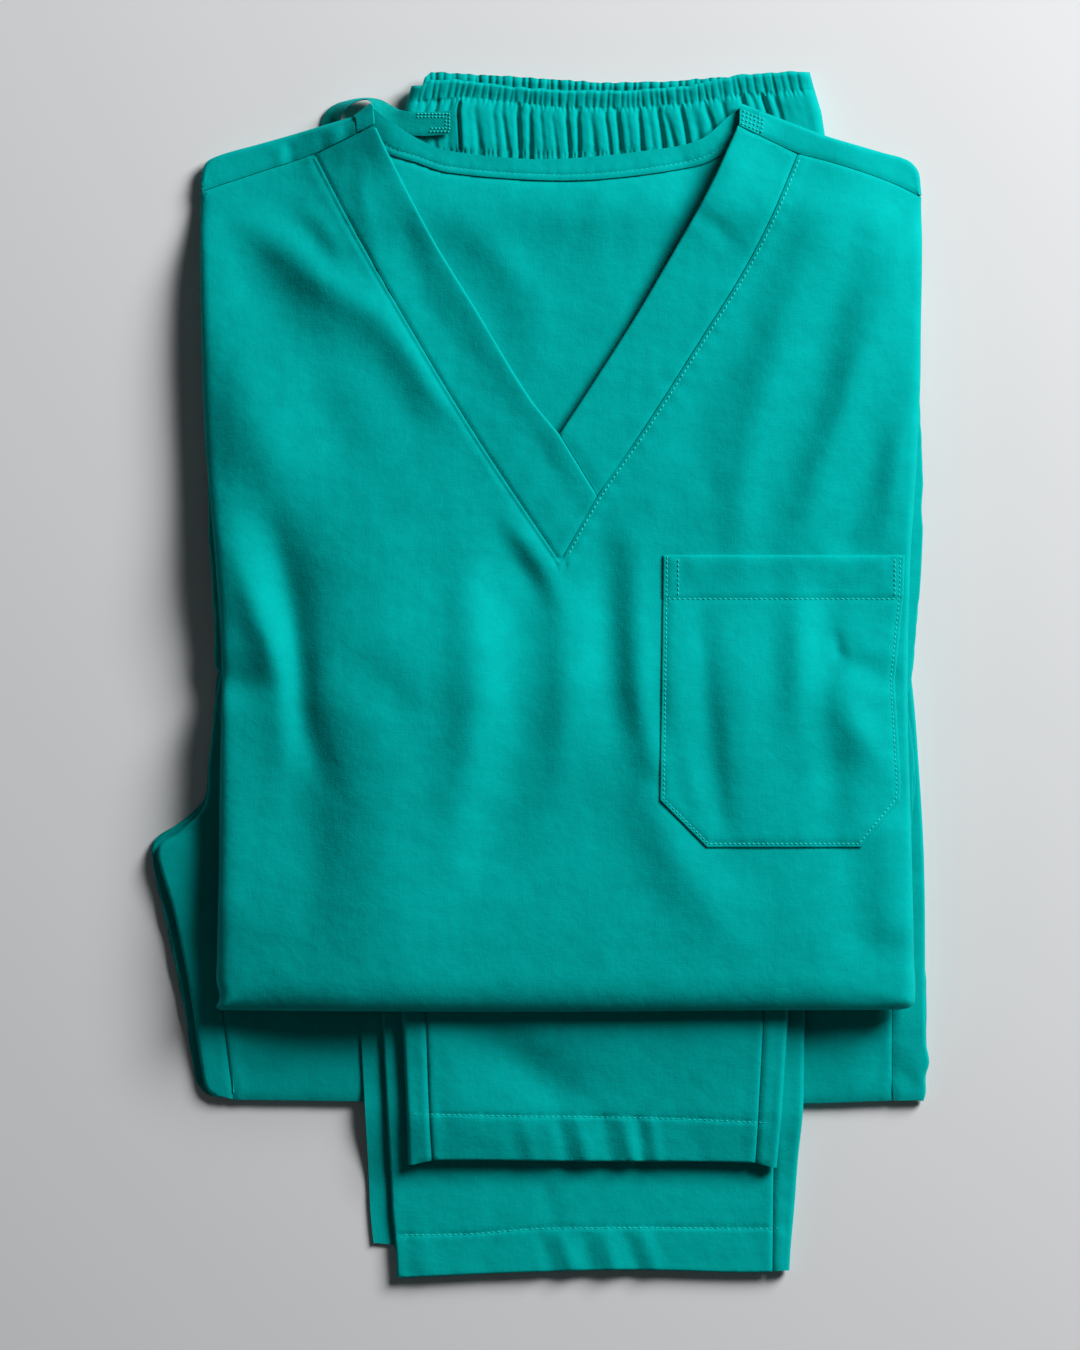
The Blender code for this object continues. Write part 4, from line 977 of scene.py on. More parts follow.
class Shell:
    """A surface in millimetres, collected from rows and caps, then made into an object."""

    def __init__(self):
        self.verts = []
        self.faces = []

    def add(self, verts, faces):
        """Adds points, and faces that count these points from 0."""
        start = len(self.verts)
        self.verts += [tuple(v) for v in verts]
        self.faces += [tuple(start + k for k in face) for face in faces]

    def rows(self, grid, flip=False, closed=False):
        """A surface through rows of points. A closed one joins the last row to the first."""
        count, width = grid.shape[:2]
        faces = []
        for a in range(count if closed else count - 1):
            b = (a + 1) % count
            for k in range(width - 1):
                face = (a * width + k, a * width + k + 1, b * width + k + 1, b * width + k)
                faces.append(face[::-1] if flip else face)
        self.add(grid.reshape(-1, 3), faces)

    def cap(self, ring, level, flip=False, spacing=FINE, near=(), detail=None):
        """A surface inside a ring, at the heights that level gives. Flip makes it face down."""
        flat, faces = cap(ring, spacing, near, detail)
        made = np.column_stack([flat, level(flat[:, 0], flat[:, 1])])
        turned = []
        for face in faces:
            a, b, c = (flat[k] for k in face)
            up = (b[0] - a[0]) * (c[1] - a[1]) - (b[1] - a[1]) * (c[0] - a[0]) > 0
            turned.append(tuple(face) if up != flip else tuple(face[::-1]))
        self.add(made, turned)

    def object(self, name, material, wall=None, sharp=50.0):
        """The object, thickened to the wall and smooth but where edges are sharper than the angle."""
        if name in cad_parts:
            name = "cloth_" + name
        mesh = bpy.data.meshes.new(name)
        mesh.from_pydata([(x * MM, y * MM, z * MM) for x, y, z in self.verts], [], self.faces)
        shape = bmesh.new()
        shape.from_mesh(mesh)
        bmesh.ops.remove_doubles(shape, verts=shape.verts, dist=0.02 * MM)
        shape.to_mesh(mesh)
        shape.free()
        made = bpy.data.objects.new(name, mesh)
        bpy.context.scene.collection.objects.link(made)
        if wall:
            thick = made.modifiers.new("Wall", "SOLIDIFY")
            thick.thickness = wall * MM
            thick.offset = -1.0
            evaluated = made.evaluated_get(bpy.context.evaluated_depsgraph_get())
            whole = bpy.data.meshes.new_from_object(evaluated)
            made.modifiers.clear()
            made.data = whole
            bpy.data.meshes.remove(mesh)
            whole.name = name
        made.data.shade_smooth()
        made.data.set_sharp_from_angle(angle=math.radians(sharp))
        made.data.materials.clear()
        made.data.materials.append(material)
        return made


def panel(name, parts, level, material, wall=WALL, flip=False, **filling):
    """A piece of cloth. Its outline is a chain of parts, anticlockwise: points, or rows round a fold."""
    shell = Shell()
    ring = []
    for part in parts:
        if np.ndim(part) == 3:
            shell.rows(part, flip)
            ring.append(part[:, 0, :2])
        else:
            ring.append(np.asarray(part)[:, :2])
    shell.cap(np.vstack(ring), level, flip, **filling)
    return shell.object(name, material, wall)


def edge_round(line, x, y, deep=0.8, reach=1.3):
    """A rounded edge: the face falls by deep at the line and is level a little inside it."""
    away, _ = beside(line, x, y)
    return -deep * round_share(away, reach)


def stack(name, outline, low, high, material, layers, seed, bulge=1.0, spacing=COARSE):
    """Hidden layers: one solid whose edge shows each layer as a soft round, a little out of line."""
    ring = curve(list(outline) + [outline[0]], 4.0)[:-1]
    line = np.vstack([ring[-1], ring, ring[0]])
    out = normals(line)[1:-1]
    made = np.random.default_rng(seed)
    passed = np.cumsum(np.hypot(*(ring - np.roll(ring, 1, axis=0)).T))
    sides = 6
    rims = []
    for layer in range(layers):
        phase = made.uniform(0.0, 6.28, 3)
        waves = sum(np.sin(2 * math.pi * passed / length + p)
                    for length, p in zip((140.0, 62.0, 27.0), phase))
        inset = made.uniform(0.2, 1.2) + 0.35 * waves
        first = 0 if layer == 0 else 1
        for k in range(first, sides + 1):
            turn = math.pi * k / sides
            rims.append(((layer + 0.5 - 0.5 * math.cos(turn)) / layers, np.clip(inset, 0.0, None)
                         + bulge * (1.0 - math.sin(turn) ** 0.8)))
    columns = []
    for share, inward in rims:
        px, py = (ring - out * inward[:, None]).T
        base, top = low(px, py), high(px, py)
        columns.append(np.column_stack([px, py, base + (top - base) * share]))
    grid = np.stack(columns, axis=1)
    shell = Shell()
    shell.rows(grid, flip=True, closed=True)
    shell.cap(grid[:, 0, :2], low, flip=True, spacing=spacing)
    shell.cap(grid[:, -1, :2], high, spacing=spacing)
    return shell.object(name, material, sharp=80.0)


class Thread:
    """Stitches, collected along seams and joined into one piece."""

    # Along a stitch: its thickness and height there, as shares of the thread's width
    SPAN = ((0.25, -0.35), (1.0, 0.12), (1.0, 0.12), (0.25, -0.35))
    # Its cross-section: across and up, in half thicknesses
    ROUND = ((1, -0.4), (0.7, 0.8), (-0.7, 0.8), (-1, -0.4))

    def __init__(self):
        self.shell = Shell()

    def run(self, line, level, pitch=2.7, length=1.9, wide=0.6, lift=0.16):
        """A row of stitches along an open line of x and y."""
        points = np.asarray(line, float)[:, :2]
        spans = np.hypot(*np.diff(points, axis=0).T)
        passed = np.concatenate([[0.0], np.cumsum(spans)])
        starts = np.arange(0.4, passed[-1] - length, pitch)
        at = (starts[:, None] + length * np.linspace(0.0, 1.0, 4)[None, :]).ravel()
        x = np.interp(at, passed, points[:, 0])
        y = np.interp(at, passed, points[:, 1])
        z = level(x, y)
        rings = []
        for k in range(0, len(at), 4):
            heading = np.array([x[k + 3] - x[k], y[k + 3] - y[k]])
            side = np.array([-heading[1], heading[0]]) / np.hypot(*heading)
            for j, (thick, rise) in enumerate(self.SPAN):
                centre = np.array([x[k + j], y[k + j], z[k + j] + lift + rise * wide])
                rings.append([centre + np.array([side[0] * a, side[1] * a, b]) * wide * thick / 2
                              for a, b in self.ROUND])
        for k in range(0, len(rings), 4):
            verts = [p for ring in rings[k:k + 4] for p in ring]
            faces = [(4 * a + b, 4 * a + (b + 1) % 4, 4 * a + 4 + (b + 1) % 4, 4 * a + 4 + b)
                     for a in range(3) for b in range(4)]
            faces += [(3, 2, 1, 0), (12, 13, 14, 15)]
            self.shell.add(verts, faces)

    def object(self, name, material):
        """All of the stitches as one object."""
        return self.shell.object(name, material, sharp=70.0)


# Materials

WAVE_SPACING = 0.314  # of the bands of a wave texture whose scale is 1


def cloth(name, colour, shade, weave=0.5, grain=1.0, sheen=0.25, twill=False):
    """Woven cloth: crossed threads, slubs along both of them, and faint clouding of the dye.

    Weave is the spacing of the threads in millimetres, and grain the strength of the bump.
    """
    made = bpy.data.materials.new(name)
    made.use_nodes = True
    nodes, links = made.node_tree.nodes, made.node_tree.links
    shader = nodes["Principled BSDF"]
    shader.inputs["Roughness"].default_value = 0.82
    shader.inputs["Specular IOR Level"].default_value = 0.12
    shader.inputs["Specular Tint"].default_value = (0.1, 0.9, 0.85, 1.0)
    shader.inputs["Sheen Weight"].default_value = sheen
    shader.inputs["Sheen Roughness"].default_value = 0.45
    shader.inputs["Sheen Tint"].default_value = (0.0, 0.8, 0.76, 1.0)
    where = nodes.new("ShaderNodeTexCoord").outputs["Object"]

    def noise(scale, detail, stretch=(1.0, 1.0, 1.0)):
        """Noise, finer along the axes with a larger stretch."""
        placed = nodes.new("ShaderNodeMapping")
        placed.inputs["Scale"].default_value = stretch
        links.new(where, placed.inputs["Vector"])
        texture = nodes.new("ShaderNodeTexNoise")
        texture.inputs["Scale"].default_value = scale
        texture.inputs["Detail"].default_value = detail
        texture.inputs["Roughness"].default_value = 0.6
        links.new(placed.outputs["Vector"], texture.inputs["Vector"])
        return texture.outputs["Fac"]

    def threads(direction):
        """Bands across a direction, one for each thread."""
        texture = nodes.new("ShaderNodeTexWave")
        texture.bands_direction = direction
        texture.inputs["Scale"].default_value = WAVE_SPACING / (weave * MM)
        texture.inputs["Distortion"].default_value = 0.8
        texture.inputs["Detail"].default_value = 1.0
        texture.inputs["Detail Scale"].default_value = 0.6
        links.new(where, texture.inputs["Vector"])
        return texture.outputs["Fac"]

    def mixed(kind, a, b):
        """A sum or a product of two sockets, or of a socket and a number."""
        maths = nodes.new("ShaderNodeMath")
        maths.operation = kind
        for socket, value in zip(maths.inputs, (a, b)):
            if isinstance(value, float):
                socket.default_value = value
            else:
                links.new(value, socket)
        return maths.outputs[0]

    warp = noise(260.0, 3.0, (8.0, 0.6, 1.0))
    weft = noise(260.0, 3.0, (0.6, 8.0, 1.0))
    slubs = mixed("ADD", warp, weft)
    crossed = threads("DIAGONAL") if twill else mixed("ADD", threads("X"), threads("Y"))
    clouds = noise(75.0, 4.0)
    ramp = nodes.new("ShaderNodeValToRGB")
    ramp.color_ramp.elements[0].position = 0.36
    ramp.color_ramp.elements[0].color = (*shade, 1.0)
    ramp.color_ramp.elements[1].position = 0.66
    ramp.color_ramp.elements[1].color = (*colour, 1.0)
    patches = mixed("MULTIPLY", clouds, 0.55)
    specks = mixed("MULTIPLY", slubs, 0.225)
    links.new(mixed("ADD", patches, specks), ramp.inputs["Fac"])
    links.new(ramp.outputs["Color"], shader.inputs["Base Color"])

    height = mixed("ADD", mixed("MULTIPLY", crossed, 0.35), slubs)
    fine = nodes.new("ShaderNodeBump")
    fine.inputs["Strength"].default_value = 0.6 * grain
    fine.inputs["Distance"].default_value = 0.00012
    links.new(height, fine.inputs["Height"])
    broad = nodes.new("ShaderNodeBump")
    broad.inputs["Strength"].default_value = 1.0 * grain
    broad.inputs["Distance"].default_value = 0.0006
    links.new(clouds, broad.inputs["Height"])
    links.new(fine.outputs["Normal"], broad.inputs["Normal"])
    links.new(broad.outputs["Normal"], shader.inputs["Normal"])
    return made


CLOTH = cloth("scrub_poplin", (0.0, 0.42, 0.395), (0.0, 0.355, 0.335))
# A darker copy of the cloth for the layers folded in under the top and under the thighs: painted shade for
# the gaps where their edges show
SHADED_LAYER_CLOTH = cloth("scrub_poplin_painted_shade", (0.0, 0.36, 0.34), (0.0, 0.30, 0.285))
TWILL = cloth("twill_tape", (0.0, 0.33, 0.30), (0.0, 0.24, 0.22), weave=0.9, grain=1.6, twill=True)
# Thread: lighter than the cloth; this lightness is painted sheen of the stitches, on top of the shader's own
# sheen
THREAD = cloth("sewing_thread", (0.04, 0.64, 0.60), (0.02, 0.55, 0.52), grain=0.4, sheen=0.4)


# The top

def joined(*parts):
    """One open line of x and y from several."""
    return np.vstack([np.asarray(p, float)[:, :2] for p in parts])


TOP_LINE = curve(TOP_EDGE, 3.0)
V_LEFT_LINE = curve(V_SEAM_LEFT + [V_TIP])
V_RIGHT_LINE = curve([V_TIP] + V_SEAM_RIGHT)
SEAM_LEFT_LINE = curve([row[2:] for row in SHOULDER_LEFT])
SEAM_RIGHT_LINE = curve([row[2:] for row in SHOULDER_RIGHT])
NECK_LINE = curve(NECK_SEAM)
LAP_LINE = straight([V_LAP_END, V_CROSS])
POCKET_LINE = straight(POCKET + [POCKET[0]], 1.6)
POCKET_SEWN = straight(POCKET, 1.6)
# From a seam or an edge to the row of stitches beside it
TOPSTITCH = 2.7  # of the V
NECK_ROW = 2.6  # of the back neck band
POCKET_ROW = 2.2
# Rows of points beside a line, which keep its groove or rounded edge clean: how far outward each one lies
BY_TOPSTITCH = (-0.35, -1.0, -1.8, -2.4, -3.0, -4.2)
BY_SHOULDER = (-0.35, -1.0, -2.0)
BY_SEAM = (-0.5, -1.1, -2.0)
BY_EDGE = (-0.35, -0.8, -1.3, -2.0)
BY_NECK = (-0.5, -1.1, -1.9, -2.6, -3.3)
BY_POCKET = (-0.4, -0.9, -1.5, -2.2, -3.0)


def front_face(x, y):
    """Face of the front: creases, and the ridge of the seam allowance under its topstitched edges."""
    z = plain_face(x, y) + front_creases(x, y) + sampled(NECK_RELIEF, x, y)
    z = z + LOWER_SWELL * grown(LOWER_SWELL_SPAN, y)
    for line, groove in ((V_LEFT_LINE, 0.42), (V_RIGHT_LINE, 0.25)):
        away, share = beside(line, x, y)
        z = z + 0.35 * smooth((9.0 - away) / 5.0) - groove * bell(away - TOPSTITCH, 0.7)
        z = z + puckers(away, share, 0.14, 150.0, at=4.0, wide=4.0)
    z = z + seam_dips([V_LEFT_LINE], x, y, 0.45)
    return z + seam_dips([V_RIGHT_LINE, SEAM_LEFT_LINE, SEAM_RIGHT_LINE], x, y, 0.7)


def band_face(x, y):
    """Face of the neck bands. Near their seams it follows the folds of the front."""
    z = plain_face(x, y) + BAND_RISE + sampled(BAND_RELIEF, x, y) + unevenness(BAND_WAVES, x, y)
    z = z + sampled(NECK_RELIEF, x, y)
    z = z + 0.35 * sampled(FRONT_RELIEF, x, y) * smooth(1.0 + outside(NECK_OPENING, x, y) / 14.0)
    for line, groove in ((V_LEFT_LINE, 0.5), (V_RIGHT_LINE, 0.8)):
        away, share = beside(line, x, y)
        z = z + puckers(away, share, 0.12, 95.0, at=0.0, wide=6.0, start=1.0) - groove * bell(away, 1.0)
    return z


def pocket_face(x, y):
    """Face of the pocket: puffed a little, with a raised hem and an upper edge that stands loose."""
    puff = smooth(-outside(np.array(POCKET), x, y) / 5.0)
    hem = smooth((y - POCKET_HEM + 0.5) / 1.5)
    away, share = beside(POCKET_SEWN, x, y)
    sewn = puckers(away, share, 0.10, 240.0, at=4.5, wide=2.5) - 0.35 * bell(away - POCKET_ROW, 0.8)
    hem_row = -0.4 * bell(y - POCKET_HEM, 0.8)
    loose = smooth((x - POCKET_TACKS[0]) / 8.0) * smooth((POCKET_TACKS[1] - x) / 8.0)
    opening = POCKET[0][1] - y
    lip = loose * (0.7 * smooth((20.9 - opening) / 19.0) - 1.1 * round_share(opening, 2.4))
    flat = front_face(x, y) + POCKET_GAP + POCKET_WALL
    return flat + 0.5 * puff + 0.3 * hem + sewn + hem_row + lip + edge_round(POCKET_LINE, x, y)


def strip_top(x, y):
    """Face of the back where it comes over the shoulder folds, up to the shoulder seams."""
    z = plain_face(x, y) + creases(SHOULDER_CREASES, x, y) + sampled(NECK_RELIEF, x, y)
    return z + seam_dips([SEAM_LEFT_LINE, SEAM_RIGHT_LINE], x, y, 0.7)


def neck_under(x, y):
    """Underside of the back neck band, which rises from its seam to the edge of the neck."""
    away, share = beside(NECK_LINE, x, y)
    row = puckers(away, share, 0.12, 200.0, at=4.0, wide=3.0) - 0.4 * bell(away - NECK_ROW, 0.8)
    rise = 0.6 + 1.4 * smooth(away / 16.0)
    return back_under(x, y) + rise + row + seam_dips([NECK_LINE], x, y, 0.5, 0.7)


def layers_low(x, y):
    """Underside of what is folded in under the top."""
    return under_top(x, y) + LAYERS_CLEAR


def below_front(level, x, y):
    """The level, kept clear of the front above it and at least LAYERS_THIN above the underside."""
    free = np.minimum(level, front_face(x, y) - FRONT_CLEAR)
    return np.maximum(free, layers_low(x, y) + LAYERS_THIN)


def make_front():
    """The front. It goes round its folds at the sides and at the lower end."""
    around = folded_under(TOP_LINE, front_face, top_drop, tuck=5.0)
    # It reaches the shoulder seams only outside the neck bands
    seam_right = shifted([p for p in SEAM_RIGHT_LINE if p[0] > 136.5], -SEAM)
    seam_left = shifted([p for p in SEAM_LEFT_LINE if p[0] < -120.0], -SEAM)
    neckline = joined(shifted(V_RIGHT_LINE[::-1], -SEAM)[:-1], shifted(V_LEFT_LINE[::-1], -SEAM)[1:])
    near = [(V_RIGHT_LINE[::-1], BY_TOPSTITCH), (V_LEFT_LINE[::-1], BY_TOPSTITCH),
            (SEAM_RIGHT_LINE, BY_SHOULDER), (SEAM_LEFT_LINE, BY_SHOULDER)]

    def level(x, y):
        return front_face(x, y) - corner_fall(TOP_LINE, top_drop, x, y)

    panel("top_front", [around, seam_right, neckline, seam_left], level, CLOTH, near=near)


def make_back():
    """The back, whose shoulders come over the folds to the shoulder seams, and its neck band."""
    fold_right = folded_over(curve(SHOULDER_RIGHT), back_under, BACK_DROP, strip_top)
    fold_left = folded_over(curve(SHOULDER_LEFT), back_under, BACK_DROP, strip_top)

    def level(x, y):
        return back_under(x, y) + seam_dips([NECK_LINE], x, y, 1.5, 1.7)

    def shown(x, y):
        return outside(NECK_OPENING, x, y) < 6.0

    outline = [shifted(TOP_LINE, -BACK_INSET), fold_right, shifted(NECK_LINE[::-1], -SEAM), fold_left]
    panel("top_back", outline, level, CLOTH, flip=True, spacing=COARSE, detail=shown,
          near=[(NECK_LINE, BY_NECK[:3])])

    end_right = folded_over(straight(NECK_END_RIGHT), neck_under, BACK_DROP, strip_top)
    end_left = folded_over(straight(NECK_END_LEFT), neck_under, BACK_DROP, strip_top)
    panel("back_neck_band", [NECK_LINE, end_right, curve(NECK_EDGE), end_left], neck_under, CLOTH, DOUBLE,
          flip=True, spacing=1.8, near=[(NECK_LINE, BY_NECK)])


def make_bands():
    """The neck bands of the V. The left one laps over the right one at the tip."""
    outer_left = joined(V_LEFT_LINE, straight([V_TIP, V_LAP_END])[1:])
    inner_left = joined(LAP_LINE[1:], curve([V_CROSS] + V_INNER_LEFT[::-1])[1:])
    top_left = shifted(straight([V_INNER_LEFT[0], V_SEAM_LEFT[0]]), -0.6)[1:-1]

    def left_face(x, y):
        over = smooth((14.0 - beside(LAP_LINE, x, y)[0]) / 12.0)
        return band_face(x, y) + 0.9 * over + edge_round(inner_left, x, y)

    panel("neck_band_left", [outer_left, inner_left[:-1], top_left], left_face, CLOTH, DOUBLE, spacing=2.0,
          near=[(inner_left, BY_EDGE), (V_LEFT_LINE, BY_SEAM)])

    lap = shifted(LAP_LINE, SEAM)
    outer_right = curve([V_LAP_END] + V_SEAM_RIGHT[1:])
    inner_right = curve([V_CROSS] + V_INNER_RIGHT)[::-1]

    def right_face(x, y):
        under = smooth((6.0 - beside(LAP_LINE, x, y)[0]) / 6.0)
        return band_face(x, y) - 0.5 * under + edge_round(inner_right, x, y)

    panel("neck_band_right", [outer_right[1:], inner_right[:-1], lap[::-1]], right_face, CLOTH, DOUBLE,
          spacing=2.0, near=[(inner_right, BY_EDGE), (outer_right, BY_SEAM)])


def make_pocket():
    """The chest pocket, open at its upper edge."""
    hem_line = straight([(64.0, POCKET_HEM), (192.0, POCKET_HEM)])
    panel("chest_pocket", [POCKET_LINE[:-1]], pocket_face, CLOTH, POCKET_WALL, spacing=2.2,
          near=[(POCKET_LINE, BY_POCKET), (hem_line, (-1.0, 0.0, 1.0))])


def make_layers():
    """What is folded in under the top: its lower part, and the sleeves, whose edges show."""
    def layers_high(x, y):
        return below_front(plain_face(x, y) - LAYERS_DEPTH, x, y)

    def sleeve_high(x, y):
        return below_front(layers_low(x, y) + SLEEVE_THICK, x, y)

    # The folded layers take the darker cloth, which paints shade on their edges
    stack("top_folded_layers", TOP_LAYERS, layers_low, layers_high, SHADED_LAYER_CLOTH, layers=3, seed=31)
    stack("sleeve_left", SLEEVE_LEFT, layers_low, sleeve_high, CLOTH, layers=3, seed=32)
    stack("sleeve_right", SLEEVE_RIGHT, layers_low, sleeve_high, CLOTH, layers=3, seed=33)


def sew_top():
    """Stitches of the top, and the overlocked end of the right shoulder seam."""
    def neck_shown(x, y):
        return neck_under(x, y) + DOUBLE

    thread = Thread()
    thread.run(shifted(V_RIGHT_LINE, TOPSTITCH - 0.6)[2:], front_face)
    thread.run(shifted(NECK_LINE, -NECK_ROW)[4:-8], neck_shown, pitch=2.6, length=1.6, wide=0.42, lift=0.1)
    thread.run(shifted(POCKET_SEWN, -POCKET_ROW), pocket_face, pitch=2.5, length=1.8)
    thread.run([(66.5, POCKET_HEM), (190.5, POCKET_HEM)], pocket_face)
    for x in POCKET_TACKS:
        thread.run([(x, 62.0), (x, POCKET_HEM)], pocket_face, pitch=2.5, length=1.8)
    for row in range(4):
        start = (106.8 - 0.3 * row, 299.4 - 2.3 * row)
        overlock = straight([start, (start[0] + 12.0, start[1] - 5.0)])
        thread.run(overlock, strip_top, pitch=2.2, length=1.4, wide=0.75, lift=0.3)
    thread.object("top_stitching", THREAD)


def make_top():
    """All of the top, and its stitches last."""
    make_front()
    make_back()
    make_bands()
    make_pocket()
    make_layers()
    sew_top()


# The trousers

def flat_at(height):
    """A level surface."""
    return lambda x, y: height + 0.0 * x


def thigh_face(x, y):
    """Plain face of the thighs, down to the roll of their lower fold."""
    return THIGH_TOP - THIGH_DROP * round_share(y - THIGH_FOLD, THIGH_REACH)


def thigh_wear(x, y):
    """What the face of the thighs has above or below its plain form."""
    return thigh_fall(y) + creases(THIGH_CREASES, x, y) + unevenness(THIGH_WAVES, x, y)


def make_thighs():
    """The thigh that lies on top, back and front, and the hidden one under it."""
    def hidden_high(x, y):
        return THIGH_LOWER + thigh_fall(y)

    # The hidden thigh takes the darker cloth, which paints shade on its layered edges
    stack("trousers_folded_layers", THIGH_HIDDEN, flat_at(0.0), hidden_high, SHADED_LAYER_CLOTH, layers=2, seed=51,
          bulge=0.9, spacing=14.0)

    def back_level(x, y):
        return thigh_face(x, y) + thigh_fall(y) - 2.0 * THIGH_DROP

    seams = [curve([row[2:] for row in table]) for table in (THIGH_LEFT, THIGH_RIGHT)]

    def side_top(x, y):
        return thigh_face(x, y) + thigh_wear(x, y) + seam_dips(seams, x, y, 0.7)

    left = folded_over(curve(THIGH_LEFT), back_level, THIGH_DROP, side_top)
    right = folded_over(curve(THIGH_RIGHT), back_level, THIGH_DROP, side_top)
    outline = [left, straight(THIGH_BACK_END), right]
    panel("trousers_back", outline, back_level, CLOTH, flip=True, spacing=COARSE)

    def front_level(x, y):
        worn = thigh_wear(x, y) + allowances(seams, x, y, 0.3, end=8.0, fade=5.0)
        return THIGH_TOP + worn + seam_dips(seams, x, y, 0.8)

    def shown(x, y):
        return (y < -150.0) | (x < -150.0) & (y < -60.0)

    bottom = curve([(x, y, THIGH_REACH) for x, y in THIGH_BOTTOM])
    roll = folded_under(bottom, front_level, flat_at(THIGH_DROP), tuck=3.0)
    right_seam, left_seam = shifted(seams[1], -SEAM)[2:], shifted(seams[0], -SEAM)[:-2]
    panel("trousers_front", [roll, right_seam, left_seam], front_level, CLOTH, spacing=COARSE, detail=shown,
          near=[(seams[0], BY_SEAM), (seams[1], BY_SEAM)])


def make_leg(name, table, hem_line, stitch_line, base, left_seam, thread):
    """A shin lying flat. Its back comes up round the folds to the seams, and its front lies between them.

    Without a left seam the front itself goes round the left fold, and the back shows past it.
    """
    def spot(row, column):
        """x and y of a fold or seam in a row of the table. The last row ends at the hem."""
        return row[column], (float(reading(row[column], hem_line)) if row is table[-1] else row[0])

    left_line = curve([spot(row, 2) for row in table])
    right_line = curve([spot(row, 3) for row in table[::-1]])
    seams = [left_line, right_line] if left_seam else [right_line]
    stitch = curve(stitch_line)
    hem_edge = curve(hem_line, 2.0)

    def worn(x, y):
        """Creases, the raised hem with its row of stitches and its rounded edge, and the seams."""
        z = LEG_SHARE * creases(LEG_CREASES, x, y) + unevenness(SHIN_WAVES, x, y)
        off = y - reading(x, stitch)
        z = z + 0.35 * smooth((0.6 - off) / 1.4) - 0.45 * bell(off, 0.9)
        z = z + puckers(off, x, 0.10, 1.1, at=0.0, wide=3.5)
        z = z - 0.7 * round_share(y - reading(x, hem_edge), 1.4)
        return z + allowances(seams, x, y, 0.3, end=7.0, fade=4.0) + seam_dips(seams, x, y, 0.9, 0.9)

    def face(x, y):
        return base(x, y) + SHIN + worn(x, y)

    def shown(x, y):
        return y < -160.0

    left = curve([spot(row, 1) + spot(row, 2) for row in table])
    right = curve([spot(row, 4) + spot(row, 3) for row in table[::-1]])
    over_right = folded_over(right, base, SHIN_DROP, face)
    right_edge = shifted(right_line, -SEAM)
    hem = [p for p in hem_edge if table[-1][2] + 1.5 < p[0] < table[-1][3] - 1.5]
    start = straight([(table[0][3], table[0][0]), (table[0][2], table[0][0])], 6.0)[1:-1]
    near = [(right_line, (-0.5, -1.0, -1.8)), (stitch, (-1.4, -0.7, 0.0, 0.7, 1.4)),
            (hem_edge[::-1], (0.4, 0.8, 1.3))]
    if left_seam:
        near.append((left_line, (-0.5, -1.0, -1.8)))
        over_left = folded_over(left, base, SHIN_DROP, face)
        panel(name + "_back", [over_left, hem, over_right, start], base, CLOTH, flip=True, spacing=COARSE)
        front = [shifted(left_line, -SEAM), hem, right_edge, start]
    else:
        shorter = {table[-1]: REAR_HEM}
        rear = curve([(row[1] - REAR_LEFT, row[0] + shorter.get(row, 0.0)) for row in table])
        rear_hem = [(table[-1][1] - 1.5, table[-1][0] + REAR_HEM - 1.0),
                    (table[-1][1] + 2.0, hem_line[0][1] + 1.0)]
        panel(name + "_back", [rear, rear_hem, hem, over_right, start], base, CLOTH, flip=True, spacing=3.5)
        fold = curve([(*spot(row, 1), SHIN_FOLD) for row in table])
        front = [folded_under(fold, face, flat_at(SHIN_FOLD), tuck=7.0), hem, right_edge, start]
    panel(name + "_front", front, face, CLOTH, spacing=COARSE, detail=shown, near=near)
    ends = 2.2
    row = [p for p in stitch if left[-1][0] + ends < p[0] < table[-1][4] - ends]
    thread.run(row, face, pitch=2.9, wide=0.5)


def flutes(x, share, grooves):
    """Height across gathered cloth. The share is 0 at the lower end of the grooves and 1 at the upper."""
    z = 0.0 * x
    for x_top, deep_top, x_low, deep_low, wide in grooves:
        off = x - x_low - (x_top - x_low) * share
        deep = deep_low + (deep_top - deep_low) * share
        z = z - deep * (0.75 * bell(off, wide) + 0.25 * bell(off, 3.0 * wide))
    return z


def gathers(start, end, pitch, deep, seed):
    """Grooves at uneven spacing, in the columns of WAIST_GROOVES."""
    made = np.random.default_rng(seed)
    x, table = start, []
    while x < end:
        lean = made.uniform(-0.9, 0.9)
        top, low = deep * made.uniform(0.5, 1.2, 2)
        table.append((x + lean, top, x, low, made.uniform(0.7, 1.1)))
        x += pitch * made.uniform(0.65, 1.4)
    return table


def casing_height(x, v, ruffle):
    """Height of the front casing. v is 0 at its lower seam, 1 at the header's seam and 2 at the top.

    The casing arches between its seams, which pinch it, and the header rises towards its edge. Beside
    the drawstring's slit the casing stands up a little, and to the left of the slit it lies lower.
    """
    held, header = min(max(v, 0.0), 1.0), max(v - 1.0, 0.0)
    above = smooth((v - 0.96) / 0.1)
    pinch = bell(v - 1.0, 0.06) + bell(v, 0.07)
    arch = -1.2 * (2.0 * held - 1.0) ** 4
    deeper = 1.0 + 0.35 * smooth((x - 75.0) / 25.0)
    casing = deeper * flutes(x, held, WAIST_GROOVES) * (1.0 - 0.5 * pinch) + arch
    lean = 1.7 * smooth(header / 0.9) - 1.5 - 1.1 * smooth((header - 0.86) / 0.14)
    dented = flutes(x, header, ruffle) * (1.0 - 0.6 * header)
    teeth = np.sin(x * 2.1 + 1.5 * np.sin(x * 0.4))
    z = WAIST_CREST + (1.0 - above) * casing + above * (dented + lean)
    z = z - pinch * (0.2 + 0.55 * np.maximum(teeth, -0.2))
    beyond = x - WAIST_SLIT
    slit = 0.9 * bell(beyond - 1.2, 2.4) - 2.6 * bell(beyond + 1.0, 0.9)
    under = -0.9 * smooth((-1.0 - beyond) / 2.0)
    return z + (slit * smooth((v - 0.02) / 0.06) * smooth((0.97 - v) / 0.06) + under) * (1.0 - above)


